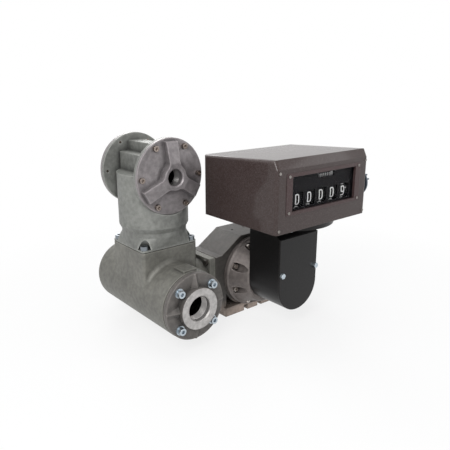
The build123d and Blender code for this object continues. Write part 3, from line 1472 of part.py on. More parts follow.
# Covers of the cross chamber: shallow dome, broad ribs and screw pockets; the front one has the port
vent_covers = (
    ("front_vent_cover", facing_front(tube_x, vent_front_seat_y, vent_axis_z), True),
    ("rear_vent_cover", facing_rear(tube_x, vent_rear_seat_y, vent_axis_z), False),
)
for name, seat, bored in vent_covers:
    with BuildPart(seat) as vent_cover:
        on_seat = (Align.CENTER, Align.CENTER, Align.MIN)
        Cylinder(vent_disc_r, vent_cover_thickness, align=on_seat)
        with Locations((0, 0, vent_cover_thickness)):
            Cone(vent_dome_r, vent_dome_top_r, vent_dome_rise, align=on_seat)
        add(vent_spider())
        with PolarLocations(vent_screw_circle, vent_screw_count):
            with Locations((0, 0, vent_cover_thickness)):
                Cylinder(vent_pocket_r, vent_boss_rise, align=on_seat, mode=Mode.SUBTRACT)
            Cylinder(vent_screw_r, vent_cover_thickness, align=on_seat, mode=Mode.SUBTRACT)
        if bored:
            boss_top = vent_cover_thickness + vent_boss_rise
            Cylinder(vent_bore_r, boss_top, align=on_seat, mode=Mode.SUBTRACT)
            with Locations((0, 0, boss_top - port_chamfer)):
                Cone(
                    vent_bore_r,
                    vent_bore_r + port_chamfer,
                    port_chamfer,
                    align=on_seat,
                    mode=Mode.SUBTRACT,
                )
    vent_cover.part.label = name
    export_step(vent_cover.part, f"parts/{name}.step")

vent_screw = socket_screw(
    vent_head_r, vent_head_height, vent_screw_r, vent_cover_thickness + vent_flange_thickness
)
vent_screw_seats = (
    facing_front(tube_x, vent_front_y, vent_axis_z),
    facing_rear(tube_x, vent_rear_y, vent_axis_z),
)
with BuildPart(*vent_screw_seats) as vent_cover_screws:
    with PolarLocations(vent_screw_circle, vent_screw_count):
        add(vent_screw)
vent_cover_screws.part.label = "vent_cover_screws"
export_step(vent_cover_screws.part, "parts/vent_cover_screws.step")

# Float that shuts the vent: bracket with hinge pin, arm and ball
float_drop = hinge_z - float_z
float_reach = float_y - hinge_y
with BuildPart() as float_bracket:
    with BuildSketch(facing_rear(tube_x, vent_front_seat_y, hinge_z - bracket_drop)):
        Rectangle(2 * bracket_half_width, bracket_height)
    extrude(amount=bracket_plate)
    for side in (-1, 1):
        with BuildSketch(facing_right(tube_x + side * (hub_half_width + hub_side_gap), 0, hinge_z)):
            with Locations(((vent_front_seat_y + hinge_y) / 2, 0)):
                Rectangle(hinge_y - vent_front_seat_y, 2 * float_hub_r)
            with Locations((hinge_y, 0)):
                Circle(float_hub_r)
        extrude(amount=side * bracket_plate)
    with BuildSketch(facing_right(tube_x - hub_half_width - bracket_plate, hinge_y, hinge_z)):
        Circle(hinge_r)
    extrude(amount=2 * (hub_half_width + bracket_plate))
float_bracket.part.label = "float_bracket"
export_step(float_bracket.part, "parts/float_bracket.step")

float_direction = (0, float_reach, -float_drop)
float_distance = sqrt(float_reach**2 + float_drop**2)
rod_plane = Plane(origin=(tube_x, hinge_y, hinge_z), x_dir=(1, 0, 0), z_dir=float_direction)
with BuildPart() as float_arm:
    with BuildSketch(facing_right(tube_x - hub_half_width, hinge_y, hinge_z)):
        Circle(float_hub_r)
    extrude(amount=2 * hub_half_width)
    with BuildSketch(rod_plane):
        Circle(float_arm_r)
    extrude(amount=float_distance - float_r + rod_socket)
    with BuildSketch(facing_right(tube_x - hub_half_width, hinge_y, hinge_z)):
        Circle(hinge_r + running_gap)
    extrude(amount=2 * hub_half_width, mode=Mode.SUBTRACT)
float_arm.part.label = "float_arm"
export_step(float_arm.part, "parts/float_arm.step")

with BuildPart() as float_ball:
    with Locations((tube_x, float_y, float_z)):
        Sphere(float_r)
    with BuildSketch(rod_plane):
        Circle(float_arm_r)
    extrude(amount=float_distance - float_r + rod_socket, mode=Mode.SUBTRACT)
float_ball.part.label = "float_ball"
export_step(float_ball.part, "parts/float_ball.step")
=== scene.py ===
# %% [markdown]
# # A rotary flow meter, dressed for the studio
# The solids of the meter come in as a fixed frame, already in metres and in place.
# Nothing here moves them. This lesson gives them their finishes, adds the numerals,
# dots and threads that are too fine for the solids, and sets up the camera and lights.

# %% Load the solids
import json
from math import pi, radians

import bpy
import numpy as np
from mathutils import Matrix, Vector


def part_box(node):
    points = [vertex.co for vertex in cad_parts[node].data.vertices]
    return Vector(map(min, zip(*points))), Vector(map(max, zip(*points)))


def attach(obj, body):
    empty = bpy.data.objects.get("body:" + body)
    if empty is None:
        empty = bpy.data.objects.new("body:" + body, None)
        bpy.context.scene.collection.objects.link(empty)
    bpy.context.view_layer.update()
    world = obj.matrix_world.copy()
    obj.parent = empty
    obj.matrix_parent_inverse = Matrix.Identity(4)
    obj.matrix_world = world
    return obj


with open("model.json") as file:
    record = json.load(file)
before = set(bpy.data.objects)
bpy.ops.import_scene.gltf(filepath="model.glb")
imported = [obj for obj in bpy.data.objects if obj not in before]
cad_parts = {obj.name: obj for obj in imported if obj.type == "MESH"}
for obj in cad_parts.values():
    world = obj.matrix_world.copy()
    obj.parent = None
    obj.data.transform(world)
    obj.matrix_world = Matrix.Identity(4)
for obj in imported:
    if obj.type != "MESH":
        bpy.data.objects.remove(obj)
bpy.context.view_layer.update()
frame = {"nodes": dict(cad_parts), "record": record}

MM = 0.001
nodes = frame["nodes"]
subparts = frame["record"]["subparts"]
mounts = {mount["name"]: mount for mount in frame["record"]["mounts"]}

# %% [markdown]
# ## Camera and light
# The camera stands where the photographer stood: left of the meter and a little above
# it, looking slightly down. Its focal length is written in pixels of a 450 pixel frame
# and turned into millimetres of lens, which gives the same mild perspective.

# %% Camera
CAMERA_PLACE = (-0.6907, -0.7793, 0.4753)
CAMERA_AZIMUTH = -39.9
CAMERA_DIP = 16.1
FOCAL_PIXELS = 506.5
FRAME_PIXELS = 450
SENSOR = 36.0
CLIP_START = 0.01

camera_data = bpy.data.cameras.new("camera")
camera_data.sensor_width = SENSOR
camera_data.lens = FOCAL_PIXELS / FRAME_PIXELS * SENSOR
camera_data.clip_start = CLIP_START
camera = bpy.data.objects.new("camera", camera_data)
camera.location = CAMERA_PLACE
camera.rotation_euler = (radians(90 - CAMERA_DIP), 0, radians(CAMERA_AZIMUTH))
bpy.context.scene.collection.objects.link(camera)
bpy.context.scene.camera = camera
bpy.context.scene.view_settings.view_transform = "Standard"
print("lens", round(camera_data.lens, 2), "mm")

# %% [markdown]
# A product on white is lit by large soft lamps. The key lamp stands high on the left
# front, so upper left edges catch light and bores are bright on their lower right. A
# wide lamp overhead lights the lids, a weak one opens the shadows on the right, and one
# behind draws a thin rim. Together they light a facing surface at about its own colour.

# %% Lamps
MIDDLE = (-0.05, -0.04, 0.18)
LAMPS = {
    "overhead": {"place": (-0.10, -0.10, 1.40), "size": 1.0, "watts": 6.8},
    "key": {"place": (-1.05, -0.75, 1.05), "size": 0.6, "watts": 12.5},
    "fill": {"place": (0.85, -1.15, 0.55), "size": 0.8, "watts": 3.2},
    "rim": {"place": (0.30, 1.25, 0.95), "size": 0.6, "watts": 6.5},
}


def area_lamp(name, place, size, watts):
    """Adds a square area lamp that faces the middle of the meter.

    It tilts from straight down by atan2(way across, way down), towards atan2(north, east).
    """
    data = bpy.data.lights.new(name, "AREA")
    data.size = size
    data.energy = watts
    lamp = bpy.data.objects.new(name, data)
    lamp.location = place
    east, north, up = np.array(MIDDLE) - np.array(place)
    tilt = float(np.arctan2(np.hypot(east, north), -up))
    heading = float(np.arctan2(north, east))
    lamp.rotation_euler = (tilt, 0, heading - pi / 2)
    bpy.context.scene.collection.objects.link(lamp)
    print(name, "lamp:", size, "m wide,", watts, "W")


for name, settings in LAMPS.items():
    area_lamp(name, **settings)

# %% [markdown]
# ## Tones
# Colours are written as they are read off a chart, from 0 to 255, and turned into the
# linear light that shaders work with. Darker and lighter tones of one colour come from
# scaling that light, which keeps the hue.


# %% Tones
def tone(red, green, blue):
    """Chart colour as linear light: ((c / 255 + 0.055) / 1.055) ^ 2.4 for each channel c."""
    channels = (np.array((red, green, blue)) / 255 + 0.055) / 1.055
    return tuple(float(channel) for channel in channels**2.4)


def scaled(colour, factor):
    """The same colour with more or less light, up to white."""
    return tuple(min(1.0, factor * channel) for channel in colour)


print("chart grey 128 is", round(tone(128, 128, 128)[0], 3), "of full light")

# %% [markdown]
# ## A small language for finishes
# A finish is a graph of nodes, and written by hand it soon becomes unreadable. Three
# small classes do the wiring instead. The first is `Field`: it wraps a socket whose
# value changes over the surface, and its operators add Math nodes. A mask of worn edges
# can then be written as `1 - openness`, just as it would be on paper.


# %% Field
class Field:
    """A number that changes over a surface; arithmetic on it adds Math nodes."""

    def __init__(self, graph, socket):
        self.graph = graph
        self.socket = socket

    def math(self, operation, *values, clamp=False):
        """One Math node on these values, as a new field."""
        settings = {"operation": operation, "use_clamp": clamp}
        return Field(self.graph, self.graph.node("ShaderNodeMath", settings, *values).outputs[0])

    def __add__(self, other):
        return self.math("ADD", self, other)

    def __sub__(self, other):
        return self.math("SUBTRACT", self, other)

    def __rsub__(self, other):
        return self.math("SUBTRACT", other, self)

    def __mul__(self, other):
        return self.math("MULTIPLY", self, other)

    __radd__ = __add__
    __rmul__ = __mul__

    def above(self, edge, softness):
        """0 below the edge and 1 above it: (value - edge) / softness + 0.5, clamped."""
        return self.math("MULTIPLY_ADD", self, 1 / softness, 0.5 - edge / softness, clamp=True)

    def larger(self, other):
        """The larger of two fields at each point: either mask or both."""
        return self.math("MAXIMUM", self, other)

    def root(self):
        """The square root."""
        return self.math("SQRT", self)

    def sine(self):
        """The sine of an angle in radians."""
        return self.math("SINE", self)


# %% [markdown]
# The second is `Graph`, which makes nodes. Blender has very many kinds, and one method
# is enough for all of them. It sets a node's settings before its sockets, because some
# settings decide which sockets the node has.

# %% Graph
DIRECT_RAYS = ("Camera", "Glossy", "Transmission")


class Graph:
    """A node tree, emptied, with one method that makes any node in it."""

    def __init__(self, tree):
        self.tree = tree
        self.tree.nodes.clear()

    def plug(self, node, socket, value):
        """Gives a socket a value, or links it when the value comes from another node."""
        target = node.inputs[socket]
        if isinstance(value, Field):
            self.tree.links.new(value.socket, target)
        elif isinstance(value, bpy.types.NodeSocket):
            self.tree.links.new(value, target)
        else:
            target.default_value = value

    def node(self, kind, settings=None, *values, **named):
        """Makes a node, sets its settings first and then its sockets, by place or by name."""
        node = self.tree.nodes.new(kind)
        for key, value in (settings or {}).items():
            setattr(node, key, value)
        for place, value in enumerate(values):
            self.plug(node, place, value)
        for key, value in named.items():
            self.plug(node, key.replace("_", " "), value)
        return node

    def seen_directly(self):
        """1 for rays that carry the picture of a surface: from the camera, a mirror or glass."""
        rays = self.node("ShaderNodeLightPath").outputs
        straight, mirrored, through = (Field(self, rays[f"Is {kind} Ray"]) for kind in DIRECT_RAYS)
        return straight.math("ADD", straight + mirrored, through, clamp=True)


# %% [markdown]
# The third is `Finish`, a graph with one Principled shader in it. Its methods are what a
# finisher would ask for: clouds and grains of tone, corners for dirt and painted shade,
# edges for wear and painted highlights, the distance from an axis for turned rings, a mix
# of two tones, and fine bumps.
# Patterns read Object coordinates, so they stay on a piece when it turns.

# %% Finish
FINE_DETAIL = 3.0
BEVEL_SAMPLES = 4
OPENNESS_SAMPLES = 6
MIX_LOW, MIX_HIGH, MIX_RESULT = 6, 7, 2


class Finish(Graph):
    """One material: a Principled shader and the nodes that feed it."""

    def __init__(self, name, **sockets):
        self.material = bpy.data.materials.new(name)
        self.material.use_nodes = True
        super().__init__(self.material.node_tree)
        self.shader = self.node("ShaderNodeBsdfPrincipled")
        self.surface = self.node("ShaderNodeOutputMaterial", {}, self.shader.outputs[0])
        self.place = self.node("ShaderNodeTexCoord").outputs["Object"]
        axes = self.node("ShaderNodeSeparateXYZ", {}, self.place)
        self.x, self.y, self.z = (Field(self, output) for output in axes.outputs)
        self.feed(**sockets)

    def feed(self, **sockets):
        """Feeds the shader: feed(Base_Color=..., Roughness=...)."""
        for key, value in sockets.items():
            self.plug(self.shader, key.replace("_", " "), value)

    def noise(self, scale, detail=FINE_DETAIL, place=None):
        """Cloudy noise from 0 to 1; the scale is in waves per metre."""
        sockets = {"Vector": place or self.place, "Scale": scale, "Detail": detail}
        return Field(self, self.node("ShaderNodeTexNoise", {}, **sockets).outputs[0])

    def grains(self, scale):
        """Random cells, as blasted grit leaves them: each has one value from 0 to 1."""
        cells = self.node("ShaderNodeTexVoronoi", {}, Vector=self.place, Scale=scale)
        parts = self.node("ShaderNodeSeparateXYZ", {}, cells.outputs["Color"])
        return Field(self, parts.outputs[0])

    def openness(self, reach, inside=False):
        """1 on an open flat and less in a corner; seen from inside, less at an outer edge."""
        settings = {"samples": OPENNESS_SAMPLES, "inside": inside, "only_local": True}
        occlusion = self.node("ShaderNodeAmbientOcclusion", settings, Distance=reach)
        return Field(self, occlusion.outputs["AO"])

    def from_axis(self, along, centre):
        """Distance from a line along X or Y through the centre: sqrt(a^2 + b^2)."""
        first = self.y - centre[1] if along == "X" else self.x - centre[0]
        second = self.z - centre[2]
        return (first * first + second * second).root()

    def mix(self, factor, low, high):
        """A colour between low and high; each is a colour or another mix."""
        blend = self.node("ShaderNodeMix", {"data_type": "RGBA"}, Factor=factor)
        for socket, colour in ((MIX_LOW, low), (MIX_HIGH, high)):
            self.plug(blend, socket, (*colour, 1) if isinstance(colour, tuple) else colour)
        return blend.outputs[MIX_RESULT]

    def shaded(self, factor, colour, dark, light):
        """One colour from a darker to a lighter tone, both given as shares of its light."""
        return self.mix(factor, scaled(colour, dark), scaled(colour, light))

    def relief(self, height, strength, depth, edge):
        """Bumps from a height field, on a shape whose sharp edges are rounded to a radius."""
        rounded = self.node("ShaderNodeBevel", {"samples": BEVEL_SAMPLES}, Radius=edge).outputs[0]
        sockets = {"Strength": strength, "Distance": depth, "Height": height, "Normal": rounded}
        self.feed(Normal=self.node("ShaderNodeBump", {}, **sockets).outputs[0])


# %% [markdown]
# ## Cast and blasted aluminium
# The castings are poured in sand, blasted and left grey. Four things make that skin:
# slow clouds of tone, fine grit that roughens it, dirt and painted shade in inner corners,
# and outer edges polished by handling and lightened as a painted highlight. Openness gives
# the last two: rays are sent out from the surface to find corners, and into the metal to
# find edges. The meter's foot gets painted light: below its height a lighter tone takes over.

# %% Castings
BRIGHT_METAL = tone(190, 187, 185)
NOISE_MIDDLE = 0.5
CLOUD_SCALE, CLOUD_RAMP, CLOUD_PART = 16.0, 0.36, 0.45
MOTTLE_SCALE, MOTTLE_RAMP, MOTTLE_PART = 130.0, 0.30, 0.35
GRIT_SCALE, GRIT_PART, GRIT_HEIGHT = 1100.0, 0.20, 0.5
PIT_SCALE = 420.0
CORNER_REACH = 12 * MM
CORNER_START, CORNER_RAMP = 0.32, 0.6
EDGE_REACH, EDGE_WEAR_AND_HIGHLIGHT = 3 * MM, 0.8
CAST_TONES = (0.60, 1.40)
DIRT_AND_SHADE_TONE, EDGE_TONE = 0.22, 2.2
FACED_TONES = (0.70, 1.0)
FACED_METAL, FACED_SMOOTHER = 0.7, 0.12
ROUGH_DROP, CLOUD_ROUGH, GRIT_ROUGH = 0.06, 0.08, 0.06
EDGE_METAL = 0.3
CAST_BUMP, CAST_DEPTH, CAST_EDGE = 0.5, 0.25 * MM, 1.6 * MM


def cast_metal(name, colour, rough=0.50, metal=0.35, dirt_and_shade=0.9, machined=None, foot=None):
    """Blasted casting; machined takes the finish and returns a mask of its faced areas.

    A foot is a tone and a height: below it that tone takes over, as painted light.
    """
    skin = Finish(name)
    clouds = skin.noise(CLOUD_SCALE).above(NOISE_MIDDLE, CLOUD_RAMP)
    mottle = skin.noise(MOTTLE_SCALE).above(NOISE_MIDDLE, MOTTLE_RAMP)
    grit = skin.grains(GRIT_SCALE)
    pits = skin.noise(PIT_SCALE)
    closed = 1 - skin.openness(CORNER_REACH)
    outer_edges = 1 - skin.openness(EDGE_REACH, inside=True)
    shade = clouds * CLOUD_PART + mottle * MOTTLE_PART + grit * GRIT_PART
    base = skin.shaded(shade, colour, *CAST_TONES)
    # Painted light on the foot: below its height a lighter tone takes over.
    if foot:
        foot_light, top = foot
        foot_light_share = 1 - skin.z.above(top, top)
        base = skin.mix(foot_light_share, base, skin.shaded(shade, foot_light, *CAST_TONES))
    # Inner corners are darkened: dirt and painted shade.
    corner_dirt_and_shade = closed.above(CORNER_START, CORNER_RAMP) * dirt_and_shade
    base = skin.mix(corner_dirt_and_shade, base, scaled(colour, DIRT_AND_SHADE_TONE))
    # Outer edges are lightened: wear and a painted highlight.
    base = skin.mix(outer_edges * EDGE_WEAR_AND_HIGHLIGHT, base, scaled(colour, EDGE_TONE))
    roughness = rough - ROUGH_DROP + clouds * CLOUD_ROUGH + grit * GRIT_ROUGH
    metallic = metal + outer_edges * EDGE_METAL
    height = grit * GRIT_HEIGHT + pits
    if machined:
        faced = machined(skin)
        base = skin.mix(faced, base, skin.shaded(mottle, BRIGHT_METAL, *FACED_TONES))
        roughness = roughness - faced * FACED_SMOOTHER
        metallic = metallic + faced * (FACED_METAL - metal)
        height = height * (1 - faced)
    skin.feed(Base_Color=base, Metallic=metallic, Roughness=roughness)
    skin.relief(height, CAST_BUMP, CAST_DEPTH, CAST_EDGE)
    return skin.material


# %% [markdown]
# Where a tool has faced a port, the cast skin is gone and bright metal shows. Two masks
# find that metal: all that lies near the axis of the bore, and the flat at its mouth.

# %% Faced ports
TOOL_MARGIN = 2.2 * MM
FACED_DEPTH = 0.3 * MM
FACED_BORDER = 0.2 * MM


def port_axis(mount):
    """The letter of the axis that a port's bore runs along, X or Y."""
    return "X" if abs(mount["axis"][0]) > abs(mount["axis"][1]) else "Y"


def faced_port(mount_name, mouth):
    """Mask for a port: its flat face, and all within the tool's reach of its axis."""
    mount = mounts[mount_name]
    centre = mount["pos_m"]
    along = port_axis(mount)
    reach = mount["dims"]["r_mm"] * MM + TOOL_MARGIN

    def mask(skin):
        bore = 1 - skin.from_axis(along, centre).above(reach, FACED_BORDER)
        level = skin.x if along == "X" else 0 - skin.y
        return bore.larger(level.above(abs(mouth) - FACED_DEPTH, FACED_BORDER))

    return mask


for mount_name in ("inlet_port", "outlet_port"):
    print(mount_name, "is bored along", port_axis(mounts[mount_name]))

# %% [markdown]
# ## Turned and plated metal
# Screws and shafts are small, so scratches matter less than tone: zinc plating is
# bluish, stainless is warm, and turned steel is neutral. Scratches are noise that is
# stretched along one axis. The hollow of a socket gets painted shade through openness.

# %% Small metal pieces
SCRATCH_SCALE = (160.0, 160.0, 900.0)
SCRATCH_PART, SCRATCH_ROUGH = 0.3, 0.10
PLATING_SCALE, PLATING_PART = 90.0, 0.7
METAL_TONES = (0.7, 1.1)
SOCKET_REACH = 3 * MM
SOCKET_SHADE, SOCKET_TONE = 0.55, 0.10
SCRATCH_BUMP, SCRATCH_DEPTH, SMALL_EDGE = 0.15, 0.04 * MM, 0.4 * MM


def small_metal(name, colour, rough):
    """Plated or turned metal: uneven plating, fine scratches and painted shade in sockets."""
    plate = Finish(name, Metallic=1.0)
    stretched = plate.node("ShaderNodeMapping", {}, Vector=plate.place, Scale=SCRATCH_SCALE)
    scratches = plate.noise(1.0, FINE_DETAIL, stretched.outputs[0])
    plating = plate.noise(PLATING_SCALE)
    shade = plating * PLATING_PART + scratches * SCRATCH_PART
    base = plate.shaded(shade, colour, *METAL_TONES)
    # Sockets are darkened as painted shade.
    socket_shade = (1 - plate.openness(SOCKET_REACH)) * SOCKET_SHADE
    base = plate.mix(socket_shade, base, scaled(colour, SOCKET_TONE))
    plate.feed(Base_Color=base, Roughness=rough + scratches * SCRATCH_ROUGH)
    plate.relief(scratches, SCRATCH_BUMP, SCRATCH_DEPTH, SMALL_EDGE)
    return plate.material


# %% [markdown]
# A thread is cut by one sharp tool, and each pass of it leaves a fine ring. A sine of
# the distance from the port's axis draws such rings. The vent's hole looks darker than
# the two pipe threads, so the amount of light is a value of its own.

# %% Metal of the threads
RING_PITCH = 0.9 * MM
RING_PART, STAIN_PART = 0.4, 0.6
DARK_RING = 0.5
CUT_ROUGH, STAIN_ROUGH = 0.26, 0.12
RING_BUMP, RING_DEPTH, RING_EDGE = 0.25, 0.06 * MM, 0.3 * MM


def thread_metal(name, along, centre, light):
    """Cut thread: rings round an axis, (1 + sin(2 pi * distance / pitch)) / 2."""
    cut = Finish(name, Metallic=1.0)
    rings = (cut.from_axis(along, centre) * (2 * pi / RING_PITCH)).sine() * 0.5 + 0.5
    stain = cut.noise(PLATING_SCALE)
    shade = stain * STAIN_PART + rings * RING_PART
    base = cut.shaded(shade, BRIGHT_METAL, DARK_RING * light, light)
    cut.feed(Base_Color=base, Roughness=CUT_ROUGH + stain * STAIN_ROUGH)
    cut.relief(rings, RING_BUMP, RING_DEPTH, RING_EDGE)
    return cut.material


# %% [markdown]
# ## Paint
# The register is sprayed a warm brown and stoved to a semi-gloss. Its colour is the same
# all over: the lid only looks greyer because a clear coat mirrors the bright studio at a
# shallow angle, and the side shows a soft reflection of the strainer. So the coat does
# that work here too. Up close the paint has orange peel and very fine pale flecks.

# %% Paints
PAINT_TONES = (0.88, 1.12)
PAINT_SHINE, COAT_IOR = 0.18, 1.4
PEEL_SCALE = 320.0
FLECK_SCALE, FLECK_START, FLECK_RAMP = 1400.0, 0.80, 0.10
FLECK_TONE = tone(170, 162, 162)
FLECK_DULLS_COAT = 0.1
BARE_EDGE_TONE, BARE_EDGE_SHARE = tone(150, 144, 140), 0.15
PAINT_CLOUD_ROUGH = 0.08
PAINT_EDGE = 1.0 * MM
PEEL_BUMP, PEEL_DEPTH = 0.09, 0.12 * MM


def enamel(name, colour, rough, coat, coat_rough, fleck=0.10):
    """Sprayed and stoved paint under a thin clear coat."""
    paint = Finish(name, Specular_IOR_Level=PAINT_SHINE)
    paint.feed(Coat_Roughness=coat_rough, Coat_IOR=COAT_IOR)
    clouds = paint.noise(CLOUD_SCALE)
    peel = paint.noise(PEEL_SCALE)
    flecks = paint.grains(FLECK_SCALE).above(FLECK_START, FLECK_RAMP)
    outer_edges = 1 - paint.openness(PAINT_EDGE, inside=True)
    base = paint.shaded(clouds, colour, *PAINT_TONES)
    base = paint.mix(flecks * fleck, base, FLECK_TONE)
    base = paint.mix(outer_edges * BARE_EDGE_SHARE, base, BARE_EDGE_TONE)
    paint.feed(Base_Color=base, Roughness=rough + clouds * PAINT_CLOUD_ROUGH)
    paint.feed(Coat_Weight=coat - flecks * FLECK_DULLS_COAT)
    paint.relief(peel, PEEL_BUMP, PEEL_DEPTH, PAINT_EDGE)
    return paint.material


# %% [markdown]
# ## Plastic and rubber
# Moulded pieces are matt with a fine grain, so one recipe serves the seals, the wheels,
# the dial and the white of the figures. Black pieces behind the window get a weak shine,
# because they would otherwise mirror the bright studio and look grey.

# %% Plastic and rubber
MOULD_GRAIN, GRAIN_PART = 1200.0, 0.4
MOULD_CLOUD_PART, MOULD_CLOUD_ROUGH = 0.6, 0.10
MOULD_TONES = (0.78, 1.1)
MOULD_BUMP, MOULD_DEPTH = 0.2, 0.05 * MM


def moulded(name, colour, rough, metal=0.0, shine=0.5):
    """Moulded plastic or rubber: fine grain in colour and bump."""
    skin = Finish(name, Metallic=metal, Specular_IOR_Level=shine)
    cells = skin.grains(MOULD_GRAIN)
    clouds = skin.noise(PLATING_SCALE)
    base = skin.shaded(clouds * MOULD_CLOUD_PART + cells * GRAIN_PART, colour, *MOULD_TONES)
    skin.feed(Base_Color=base, Roughness=rough + clouds * MOULD_CLOUD_ROUGH)
    skin.relief(cells, MOULD_BUMP, MOULD_DEPTH, SMALL_EDGE)
    return skin.material


# %% [markdown]
# ## The window
# A clean pane is hard to see: only a faint film of dust and a weak mirror show that it
# is there. So its body is black and almost wholly transparent, and the film changes how
# much it covers and how much it blurs. A glass shader would take longer to render and
# leave more noise.

# %% Window pane
FILM_TONES = (tone(8, 9, 10), tone(30, 32, 34))
CLEAR_COVER, FILM_COVER = 0.02, 0.04
CLEAR_ROUGH, FILM_ROUGH = 0.03, 0.05


def clear_pane(name):
    """Window pane with a faint film of dust that changes its cover and its gloss."""
    pane = Finish(name)
    film = pane.noise(PLATING_SCALE)
    pane.feed(
        Base_Color=pane.mix(film, *FILM_TONES),
        Alpha=CLEAR_COVER + film * FILM_COVER,
        Roughness=CLEAR_ROUGH + film * FILM_ROUGH,
    )
    return pane.material


# %% [markdown]
# ## Which solid gets which finish
# Each solid names the slot of its material, and most slots are one finish. Slots hold
# what a piece is made of, though, and not how it has aged or how light falls on it, so a
# few solids get a finish of their own: the vent covers are brighter than the housing
# between them, the bolts below the eliminator are darker than other plated ones, and the
# meter's foot gets painted light.

# %% Finishes of the slots
slot_finishes = {
    "strainer_casting": cast_metal("strainer_casting", tone(113, 112, 106)),
    "cover_casting": cast_metal("cover_casting", tone(113, 106, 103), rough=0.46),
    "machined_flange": cast_metal("flange_casting", tone(92, 89, 84)),
    "zinc_screw": small_metal("zinc_plated_steel", tone(196, 206, 214), 0.24),
    "stainless_screw": small_metal("stainless_steel", tone(150, 139, 132), 0.2),
    "gasket": moulded("gasket_fibre", tone(78, 76, 72), 0.8),
    "steel_part": small_metal("turned_steel", tone(160, 160, 160), 0.3),
    "float_plastic": moulded("float_plastic", tone(46, 46, 48), 0.4),
    "rotor_metal": cast_metal("rotor_metal", tone(140, 140, 142), rough=0.34, metal=0.9),
    "gear_steel": small_metal("gear_steel", tone(150, 150, 152), 0.3),
    "brass_part": small_metal("gland_brass", tone(190, 158, 100), 0.3),
    "black_casting": enamel("drive_black", tone(14, 13, 14), 0.40, 0.30, 0.22, fleck=0.02),
    "register_paint": enamel("register_enamel", tone(55, 43, 41), 0.45, 0.60, 0.08),
    "bezel_paint": enamel("bezel_enamel", tone(64, 47, 47), 0.45, 0.35, 0.20),
    "window": clear_pane("window_pane"),
    "dial_black": moulded("dial_black", tone(16, 15, 18), 0.6, shine=0.12),
    "number_wheel": moulded("wheel_black", tone(12, 12, 14), 0.55, shine=0.12),
    "knob_grey": moulded("knob_slate", tone(88, 98, 108), 0.32, metal=0.5),
}
print("finishes of slots:", len(slot_finishes))

# %% [markdown]
# The finishes of single solids come next. Where both are given, the solid's own finish
# wins over that of its slot.

# %% Finishes of single solids
BODY_TONE = tone(73, 70, 67)
# Painted light for the meter's foot: a lighter tone and the height it reaches.
FOOT = (tone(168, 153, 143), 24 * MM)
VENT_TONE = tone(129, 124, 125)

inlet_mask = faced_port("inlet_port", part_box("inlet_flange")[0].y)
outlet_mask = faced_port("outlet_port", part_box("outlet_flange")[1].x)
node_finishes = {
    "meter_body": cast_metal("meter_body_casting", BODY_TONE, dirt_and_shade=0.6, foot=FOOT),
    "inlet_flange": cast_metal("inlet_flange_casting", tone(101, 97, 94), machined=inlet_mask),
    "outlet_flange": cast_metal("outlet_flange_casting", tone(76, 73, 70), machined=outlet_mask),
    "front_vent_cover": cast_metal("vent_cover_casting", VENT_TONE, rough=0.42, metal=0.45),
    "rear_vent_cover": cast_metal("rear_vent_casting", VENT_TONE, rough=0.42, metal=0.45),
    "eliminator_bolts": small_metal("dark_steel", tone(138, 144, 150), 0.26),
    "flange_bolts": small_metal("oiled_steel", tone(96, 92, 88), 0.34),
    "register_screws": small_metal("dull_screw", tone(150, 146, 142), 0.36),
    "front_cover_screws": small_metal("bright_screw", tone(205, 198, 192), 0.22),
    "eliminator_housing": cast_metal("eliminator_casting", tone(124, 125, 121)),
}
for entry in subparts:
    finish = node_finishes.get(entry["node"]) or slot_finishes[entry["material_slot"]]
    solid = nodes[entry["node"]]
    solid.data.materials.clear()
    solid.data.materials.append(finish)
print("finishes of single solids:", len(node_finishes), "on", len(subparts), "solids")

# %% [markdown]
# ## Numerals
# Each large wheel carries the figures 0 to 9 round its rim. The real ones are narrow,
# even and round-cornered, which no common typeface is, so they are drawn as strokes: a
# stroke is a path of points with rounded corners, and a flat ribbon follows it. The
# ribbon is wrapped round the wheel and lifted a little, so every figure is a raised
# shape that turns with its wheel.

# %% Strokes
SPACING = 0.45 * MM
CORNER_STEPS = 6


def rounded_path(points, radius, closed=False):
    """Path with each corner replaced by a quadratic curve that starts one radius away.

    A corner's curve is (1-t)^2 a + 2 t (1-t) corner + t^2 b, where a and b lie on its sides.
    """
    points = np.array(points, float)
    count = len(points)
    t = np.linspace(0, 1, CORNER_STEPS)[:, None]
    pieces = []
    for i, corner in enumerate(points):
        if not closed and i in (0, count - 1):
            pieces.append(corner[None])
            continue
        before = points[i - 1] - corner
        after = points[(i + 1) % count] - corner
        reach = min(radius, np.linalg.norm(before) / 2, np.linalg.norm(after) / 2)
        a = corner + before / np.linalg.norm(before) * reach
        b = corner + after / np.linalg.norm(after) * reach
        pieces.append((1 - t) ** 2 * a + 2 * t * (1 - t) * corner + t**2 * b)
    return resampled(np.concatenate(pieces), closed)


def resampled(path, closed):
    """The same path with a point about every SPACING, so that its straights bend too.

    The length travelled is cut into equal steps, and x and y are read off along it.
    """
    if closed:
        path = np.concatenate([path, path[:1]])
    lengths = np.linalg.norm(np.diff(path, axis=0), axis=1)
    travelled = np.concatenate([[0], np.cumsum(lengths)])
    steps = max(2, int(np.ceil(travelled[-1] / SPACING)))
    stations = np.linspace(0, travelled[-1], steps + 1)[: -1 if closed else None]
    return np.stack([np.interp(stations, travelled, axis) for axis in path.T], 1)


def ribbon(path, half_width, closed):
    """Left and right edges of a flat stroke: point + and - half width * (-dy, dx).

    (dx, dy) is the unit direction of the path at that point.
    """
    if closed:
        direction = np.roll(path, -1, 0) - np.roll(path, 1, 0)
    else:
        direction = np.gradient(path, axis=0)
    direction /= np.linalg.norm(direction, axis=1, keepdims=True)
    across = np.stack([-direction[:, 1], direction[:, 0]], 1) * half_width
    return path + across, path - across


test_square = [(0, 0), (4 * MM, 0), (4 * MM, 4 * MM), (0, 4 * MM)]
print("a 4 mm square becomes", len(rounded_path(test_square, MM, closed=True)), "points")

# %% [markdown]
# The ten figures are drawn in a box round its own middle. Nought and eight are closed
# loops and the others are open lines. Nine is six turned half a turn round.


